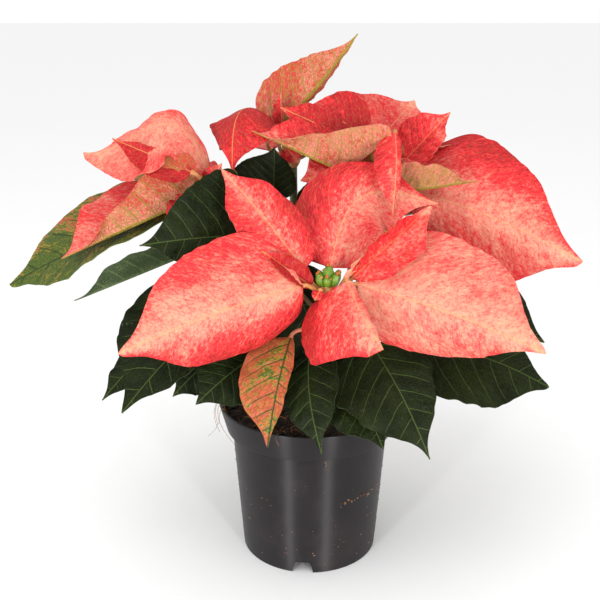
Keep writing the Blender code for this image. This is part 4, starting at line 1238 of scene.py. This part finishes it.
class POINSETTIA_OT_cups(bpy.types.Operator):
    """Place the flower cups in the middle of each head"""
    bl_idname = "poinsettia.cups"
    bl_label = "Flower cups"

    def execute(self, context):
        settings = context.scene.poinsettia_cups
        finishes = [cup_skin(settings), cup_detail("cup_gland", settings.gland, settings.mouth, 0.25),
                    cup_detail("cup_stamens", settings.stamen, settings.gland, 0.6)]
        radius, height = mm(settings.radius), mm(settings.height)
        for number, name in enumerate(HEAD_HUBS):
            skin = Skin()
            foot = np.array(HEAD_HUBS[name], float) + np.array((0, 0, HUB_HEIGHT + GAP))
            cushion = foot + np.linspace(0, 1.6, 4)[:, None] * np.array((0, 0, 1.0))
            add_tube(skin, cushion, (3.8, 4.0, 3.6, 2.4), 20, 0)
            draw = random.Random(number)
            add_cup(skin, foot + np.array((0, 0, 1.0)), 0.06, 1.0, radius, height, seed_of(number))
            for i in range(settings.outer):
                turn = 2 * math.pi * i / settings.outer + 0.4
                size = 0.62 + 0.2 * draw.random()
                spot = foot + np.array((3.4 * math.cos(turn), 3.4 * math.sin(turn), 0.2))
                add_cup(skin, spot, math.radians(20 + 8 * draw.random()), turn, radius * size,
                        height * size, seed_of(10 * number + i))
            settle(skin.build(name + "_cups", finishes), "cup", "cups_" + name)
        return {"FINISHED"}


def rounded(profile, radius, steps=4):
    """A profile with each of its inner corners rounded."""
    corners = [np.array(p, float) for p in profile]
    out = [corners[0]]
    for before, corner, after in zip(corners, corners[1:], corners[2:]):
        back, ahead = before - corner, after - corner
        start = corner + back * min(radius / np.linalg.norm(back), 0.45)
        end = corner + ahead * min(radius / np.linalg.norm(ahead), 0.45)
        for i in range(steps + 1):
            u = i / steps
            out.append(start * (1 - u) ** 2 + corner * 2 * u * (1 - u) + end * u ** 2)
    return out + [corners[-1]]


def cutter(name, points, faces):
    """Closed body that is taken out of the pot, in metres from the pot's axis."""
    mesh = bpy.data.meshes.new(name)
    mesh.from_pydata(np.asarray(points).reshape(-1, 3) * MM, [], faces)
    face_outwards(mesh)
    made = bpy.data.objects.new(name, mesh)
    made.location = POT_AXIS
    bpy.context.collection.objects.link(made)
    return made


def take_out(target, cutters):
    """Cut bodies out of a piece and remove them."""
    for tool in cutters:
        change = target.modifiers.new("cut", "BOOLEAN")
        change.operation = "DIFFERENCE"
        change.object = tool
    graph = bpy.context.evaluated_depsgraph_get()
    left = bpy.data.meshes.new_from_object(target.evaluated_get(graph))
    target.modifiers.clear()
    target.data = left
    for tool in cutters:
        bpy.data.objects.remove(tool)


def pot_section(p):
    """Section of the pot, from below its floor, out over the skirt and the lip, and in to its floor."""
    height, wall, skirt = mm(p.height), mm(p.wall), mm(p.skirt)
    rim, band, foot = mm(p.rim_radius), mm(p.band_foot_radius), mm(p.foot_radius)
    shoulder = height - mm(p.rim_band)
    slope = (mm(p.wall_top_radius) - foot) / shoulder
    floor = skirt + wall
    outer = [(0.01, skirt), (foot - 2.0, skirt), (foot - 2.0, 0.0), (foot, 0.0),
             (foot + slope * skirt, skirt), (foot + slope * shoulder, shoulder), (band, shoulder),
             (rim, height)]
    inner = [(rim - wall - 0.3, height), (band + 0.35 - wall, shoulder + wall),
             (foot + slope * shoulder - wall, shoulder + wall), (foot + slope * floor - wall, floor),
             (0.01, floor)]
    return rounded(outer + inner, 0.7)


def pot_cutters(p):
    """Bodies that cut the notches into the foot skirt and the drain holes into the floor."""
    foot, wall, skirt = mm(p.foot_radius), mm(p.wall), mm(p.skirt)
    half, top = mm(p.notch_width) / 2, mm(p.notch_height)
    shape = rounded([(-half - 1.5, -1), (-half, top - 2.0), (-half + 1.2, top), (half - 1.2, top),
                     (half, top - 2.0), (half + 1.5, -1)], 1.6)
    notch = np.array([[(reach, y, z) for y, z in shape] for reach in (foot - 8, foot + 5)])
    hole = turned_rings([(mm(p.drain_radius), -3), (mm(p.drain_radius), 3)], 32)
    hole = hole + np.array((mm(p.drain_circle), 0, skirt + wall / 2))
    cutters = []
    for i in range(NOTCHES):
        turn = p.notch_turn - math.pi / 2 + 2 * math.pi * i / NOTCHES
        spin = np.array(Matrix.Rotation(turn, 3, "Z")).T
        cutters.append(cutter("notch", notch @ spin, ring_faces(2, len(shape))))
        cutters.append(cutter("drain", hole @ spin, ring_faces(2, 32)))
    return cutters


class POINSETTIA_OT_pot(bpy.types.Operator):
    """Mould the nursery pot"""
    bl_idname = "poinsettia.pot"
    bl_label = "Pot"

    def execute(self, context):
        p = context.scene.poinsettia_pot
        profile = pot_section(p)
        skin = Skin()
        skin.add(turned_rings(profile, POT_SIDES), ring_faces(len(profile), POT_SIDES), 0)
        pot = skin.build("nursery_pot", [pot_plastic(p)], POT_CREASE)
        take_out(pot, pot_cutters(p))
        pot.data.shade_smooth()
        pot.data.set_sharp_from_angle(angle=math.radians(POT_CREASE))
        settle(pot, "pot", "pot")
        return {"FINISHED"}


def peat_height(x, y):
    """Height of the peat's surface above its mean, in millimetres."""
    rise = 1.6 * math.sin(0.31 * x + 1.3) * math.cos(0.27 * y - 0.6)
    rough = noise.fractal(Vector((x * 0.16, y * 0.16, 3.0)), 1.0, 2.1, 5)
    return rise + 1.3 * rough


def add_lump(skin, spot, size, stretch):
    """Add one small uneven crumb."""
    mesh = bmesh.new()
    bmesh.ops.create_icosphere(mesh, subdivisions=2, radius=1.0)
    points = []
    for vert in mesh.verts:
        lump = 1 + 0.45 * noise.noise(vert.co * 1.7 + spot)
        points.append([c * s * size * lump + o for c, s, o in zip(vert.co, stretch, spot)])
    faces = [[v.index for v in f.verts] for f in mesh.faces]
    mesh.free()
    skin.add(points, faces, 0)


def round_pot(turn, out, along, z):
    """Point at an angle around the pot, so far out from its axis and so far sideways."""
    x = out * math.cos(turn) - along * math.sin(turn)
    y = out * math.sin(turn) + along * math.cos(turn)
    return x, y, z


def eased(points, rounds=2):
    """The same path with its corners cut off."""
    points = np.array(points, float)
    for _ in range(rounds):
        ahead, behind = points[1:], points[:-1]
        cuts = np.stack([behind * 0.75 + ahead * 0.25, behind * 0.25 + ahead * 0.75], 1)
        points = np.concatenate([points[:1], cuts.reshape(-1, 3), points[-1:]])
    return points


def peat_section(top, pot):
    """Section of the peat inside the pot, from its foot to the middle of its surface."""
    wall = mm(pot.wall)
    shoulder = mm(pot.height) - mm(pot.rim_band)
    band_slope = (mm(pot.rim_radius) - mm(pot.band_foot_radius)) / mm(pot.rim_band)
    edge = mm(pot.band_foot_radius) + band_slope * (top - PEAT_SHOULDER - shoulder) - wall - PEAT_FIT
    slope = (mm(pot.wall_top_radius) - mm(pot.foot_radius)) / shoulder
    floor = mm(pot.skirt) + wall + GAP
    low = mm(pot.foot_radius) + slope * floor - wall - PEAT_FIT
    shelf = shoulder + wall + GAP
    wall_part = [(0.01, floor), (low, floor), (mm(pot.wall_top_radius) - wall - PEAT_FIT, shelf - 0.2),
                 (edge - band_slope * (top - shelf), shelf), (edge, top - PEAT_SHOULDER)]
    surface = [(edge * (1 - i / PEAT_RINGS), top) for i in range(1, PEAT_RINGS)] + [(0.01, top)]
    return wall_part, surface, edge


class POINSETTIA_OT_peat(bpy.types.Operator):
    """Fill the pot with peat, crumbs and fibres"""
    bl_idname = "poinsettia.peat"
    bl_label = "Peat"

    def execute(self, context):
        p, pot = context.scene.poinsettia_peat, context.scene.poinsettia_pot
        top = mm(p.top)
        bed, crumbs, fibres, splashes = Skin(), Skin(), Skin(), Skin()
        edge = self.add_bed(bed, top, pot)
        draw = random.Random(11)
        for _ in range(p.crumbs):
            self.add_crumb(crumbs, draw, edge, top)
        for _ in range(p.fibres):
            self.add_fibre(fibres, draw, edge, top)
        self.add_splashes(splashes, draw, pot)
        finishes = [peat_ground("peat", p.dark, p.light, 260.0)]
        settle(bed.build("peat_bed", finishes, CRUMB_CREASE), "soil", "soil")
        finishes = [peat_ground("peat_crumb", p.dark, p.light, 420.0)]
        settle(crumbs.build("peat_crumbs", finishes, CRUMB_CREASE), "soil")
        finishes = [fibre_skin("peat_fibre", p.fibre_dark, p.fibre_light)]
        settle(fibres.build("peat_fibres", finishes), "soil")
        finishes = [fibre_skin("peat_splash", p.fibre_dark, p.splash)]
        settle(splashes.build("pot_splashes", finishes, CRUMB_CREASE), "soil")
        return {"FINISHED"}

    def add_bed(self, skin, top, pot):
        """Add the peat with its uneven surface, and give the radius of its edge."""
        wall_part, surface, edge = peat_section(top, pot)
        profile = wall_part + surface
        rings = turned_rings(profile, PEAT_SIDES)
        for point in rings[len(wall_part):].reshape(-1, 3):
            reach = math.hypot(point[0], point[1])
            point[2] += peat_height(point[0], point[1]) * min(1.0, (edge - reach) / 4 + 0.3)
        skin.add(rings, ring_faces(len(profile), PEAT_SIDES), 0)
        return edge

    def add_splashes(self, skin, draw, pot):
        """Add the dried crumbs and the fibre that stick to the outside of the pot."""
        shoulder = mm(pot.height) - mm(pot.rim_band)
        foot, wall = mm(pot.foot_radius), mm(pot.wall_top_radius)
        spots = [(-63 + 2.9 * i, 51 + draw.uniform(-1, 1.2), draw.uniform(0.35, 0.85))
                 for i in range(SPLASH_ROW)]
        spots += [(draw.uniform(0, 360), draw.uniform(3, 70), draw.uniform(0.2, 0.48))
                  for _ in range(LOOSE_SPLASHES)]
        for turn, z, size in spots:
            radius = foot + (wall - foot) * z / shoulder
            stretch = Vector((draw.uniform(0.7, 1.5), draw.uniform(0.7, 1.5), draw.uniform(0.6, 1.1)))
            add_lump(skin, Vector(round_pot(math.radians(turn), radius, 0, z)), size, stretch)
        path = eased([round_pot(math.radians(turn), wall + out, 0, z) for turn, out, z in STUCK_FIBRE])
        add_tube(skin, path, np.linspace(0.4, 0.15, len(path)), 6, 0)

    def add_crumb(self, skin, draw, edge, top):
        """Add one crumb, sunk into the surface."""
        turn, reach = draw.uniform(0, 2 * math.pi), edge * 0.96 * math.sqrt(draw.random())
        size = 0.5 + 1.5 * draw.random() ** 2.5
        x, y = reach * math.cos(turn), reach * math.sin(turn)
        if reach < TRUNK_CLEARANCE:
            return
        stretch = Vector((draw.uniform(0.8, 1.3), draw.uniform(0.8, 1.3), draw.uniform(0.6, 0.9)))
        add_lump(skin, Vector((x, y, top + peat_height(x, y) + size * 0.25)), size, stretch)

    def add_fibre(self, skin, draw, edge, top):
        """Add one fibre that lies loosely on the surface."""
        turn, reach = draw.uniform(0, 2 * math.pi), edge * 0.9 * math.sqrt(draw.random())
        if reach < TRUNK_CLEARANCE + 1:
            return
        x, y = reach * math.cos(turn), reach * math.sin(turn)
        heading, bend = draw.uniform(0, 2 * math.pi), draw.uniform(-0.35, 0.35)
        centres = []
        for i in range(9):
            lift = 0.3 + 0.9 * math.sin(math.pi * i / 8) * draw.random()
            centres.append((x, y, top + peat_height(x, y) + lift))
            x += 1.3 * math.cos(heading)
            y += 1.3 * math.sin(heading)
            heading += bend * draw.random()
            if not TRUNK_CLEARANCE <= math.hypot(x, y) <= edge - 1:
                break
        if len(centres) > 3:
            radii = np.linspace(0.22, 0.08, len(centres)) * draw.uniform(0.7, 1.4)
            add_tube(skin, centres, radii, 6, 0)


class POINSETTIA_OT_root_hairs(bpy.types.Operator):
    """Hang the fine root hairs over the rim"""
    bl_idname = "poinsettia.root_hairs"
    bl_label = "Root hairs"

    def execute(self, context):
        p, pot = context.scene.poinsettia_peat, context.scene.poinsettia_pot
        rim, top = mm(pot.rim_radius), mm(pot.height)
        skin = Skin()
        for turn, drops in ROOT_HAIRS:
            path = [(rim - 4, 0, top - 4), (rim - 2.5, 0, top + 0.6), (rim + 0.6, 0, top + 0.4)]
            path += [(rim + out, along, top - down) for down, out, along in drops]
            path = eased([round_pot(math.radians(turn), *point) for point in path])
            add_tube(skin, path, np.linspace(0.2, 0.09, len(path)), 6, 0)
        finishes = [fibre_skin("root_hair", p.fibre_light, p.fibre_dark)]
        settle(skin.build("root_hairs", finishes), "soil")
        return {"FINISHED"}


class POINSETTIA_OT_studio(bpy.types.Operator):
    """Set up the pale floor, the soft lights and the camera"""
    bl_idname = "poinsettia.studio"
    bl_label = "Studio"

    def execute(self, context):
        p = context.scene.poinsettia_studio
        self.add_floor(context, p)
        for name, place, size, setting in LIGHTS:
            self.add_light(context, name, place, size, getattr(p, setting))
        self.add_sky(context, p)
        self.add_camera(context, p)
        context.scene.view_settings.view_transform = "Standard"
        return {"FINISHED"}

    def add_floor(self, context, p):
        """Lay the pale floor."""
        mesh = bpy.data.meshes.new("floor")
        corners = [(-1, -1), (1, -1), (1, 1), (-1, 1)]
        mesh.from_pydata([(x * FLOOR_REACH, y * FLOOR_REACH, 0) for x, y in corners], [], [(0, 1, 2, 3)])
        recipe = Recipe("floor_paper")
        dim = tuple(c * 0.985 for c in p.floor)
        colour = recipe.mix(recipe.noise(recipe.place(), 60.0, 2.0), p.floor, dim)
        mesh.materials.append(recipe.finish(colour, 0.9, Specular_IOR_Level=0.0))
        floor = bpy.data.objects.new("floor", mesh)
        context.collection.objects.link(floor)

    def add_light(self, context, name, place, size, power):
        """Add one flat soft light that looks at the plant."""
        data = bpy.data.lights.new(name, "AREA")
        data.shape = "RECTANGLE"
        data.size, data.size_y = size
        data.energy = power
        light = bpy.data.objects.new(name, data)
        light.location = POT_AXIS + Vector(place)
        aim = POT_AXIS + Vector((0, 0, LIGHT_AIM)) - light.location
        light.rotation_euler = aim.to_track_quat("-Z", "Y").to_euler()
        context.collection.objects.link(light)

    def add_sky(self, context, p):
        """Light the scene evenly from all round."""
        world = bpy.data.worlds.new("studio")
        world.use_nodes = True
        sky = world.node_tree.nodes["Background"].inputs
        sky["Color"].default_value = (1.0, 1.0, 1.0, 1.0)
        sky["Strength"].default_value = p.sky
        context.scene.world = world

    def add_camera(self, context, p):
        """Place the camera in front of the plant."""
        data = bpy.data.cameras.new("camera")
        data.lens = p.lens
        camera = bpy.data.objects.new("camera", data)
        camera.location = POT_AXIS + Vector((p.camera_side, -p.distance, p.camera_height))
        camera.rotation_euler = (math.pi / 2 - p.tilt, 0, 0)
        context.collection.objects.link(camera)
        context.scene.camera = camera


class POINSETTIA_PT_panel(bpy.types.Panel):
    """Steps that build the plant, in order"""
    bl_idname = "POINSETTIA_PT_panel"
    bl_label = "Poinsettia"
    bl_space_type = "VIEW_3D"
    bl_region_type = "UI"
    bl_category = "Poinsettia"

    def draw(self, context):
        for operator in OPERATORS:
            self.layout.operator(operator.bl_idname)


OPERATORS = (POINSETTIA_OT_pot, POINSETTIA_OT_peat, POINSETTIA_OT_stems, POINSETTIA_OT_leaves,
             POINSETTIA_OT_bracts, POINSETTIA_OT_cups, POINSETTIA_OT_root_hairs, POINSETTIA_OT_studio)
SETTINGS = {
    "poinsettia_pot": PotSettings,
    "poinsettia_peat": PeatSettings,
    "poinsettia_stems": StemSettings,
    "poinsettia_leaves": LeafSettings,
    "poinsettia_leaf_colours": LeafColours,
    "poinsettia_bracts": BladeSettings,
    "poinsettia_bract_colours": BractColours,
    "poinsettia_cups": CupSettings,
    "poinsettia_studio": StudioSettings,
}
GROUPS = tuple(dict.fromkeys(SETTINGS.values()))


def register():
    """Register the settings, the steps and the panel."""
    for kind in GROUPS + OPERATORS + (POINSETTIA_PT_panel,):
        bpy.utils.register_class(kind)
    for name, kind in SETTINGS.items():
        setattr(bpy.types.Scene, name, bpy.props.PointerProperty(type=kind))


def unregister():
    """Take everything out again."""
    for name in SETTINGS:
        delattr(bpy.types.Scene, name)
    for kind in reversed(GROUPS + OPERATORS + (POINSETTIA_PT_panel,)):
        bpy.utils.unregister_class(kind)


def main():
    """Build the plant in its studio."""
    register()
    bpy.ops.poinsettia.pot()
    bpy.ops.poinsettia.peat()
    bpy.ops.poinsettia.stems()
    bpy.ops.poinsettia.leaves()
    bpy.ops.poinsettia.bracts()
    bpy.ops.poinsettia.cups()
    bpy.ops.poinsettia.root_hairs()
    bpy.ops.poinsettia.studio()
    bpy.context.view_layer.update()


if __name__ == "__main__":
    main()
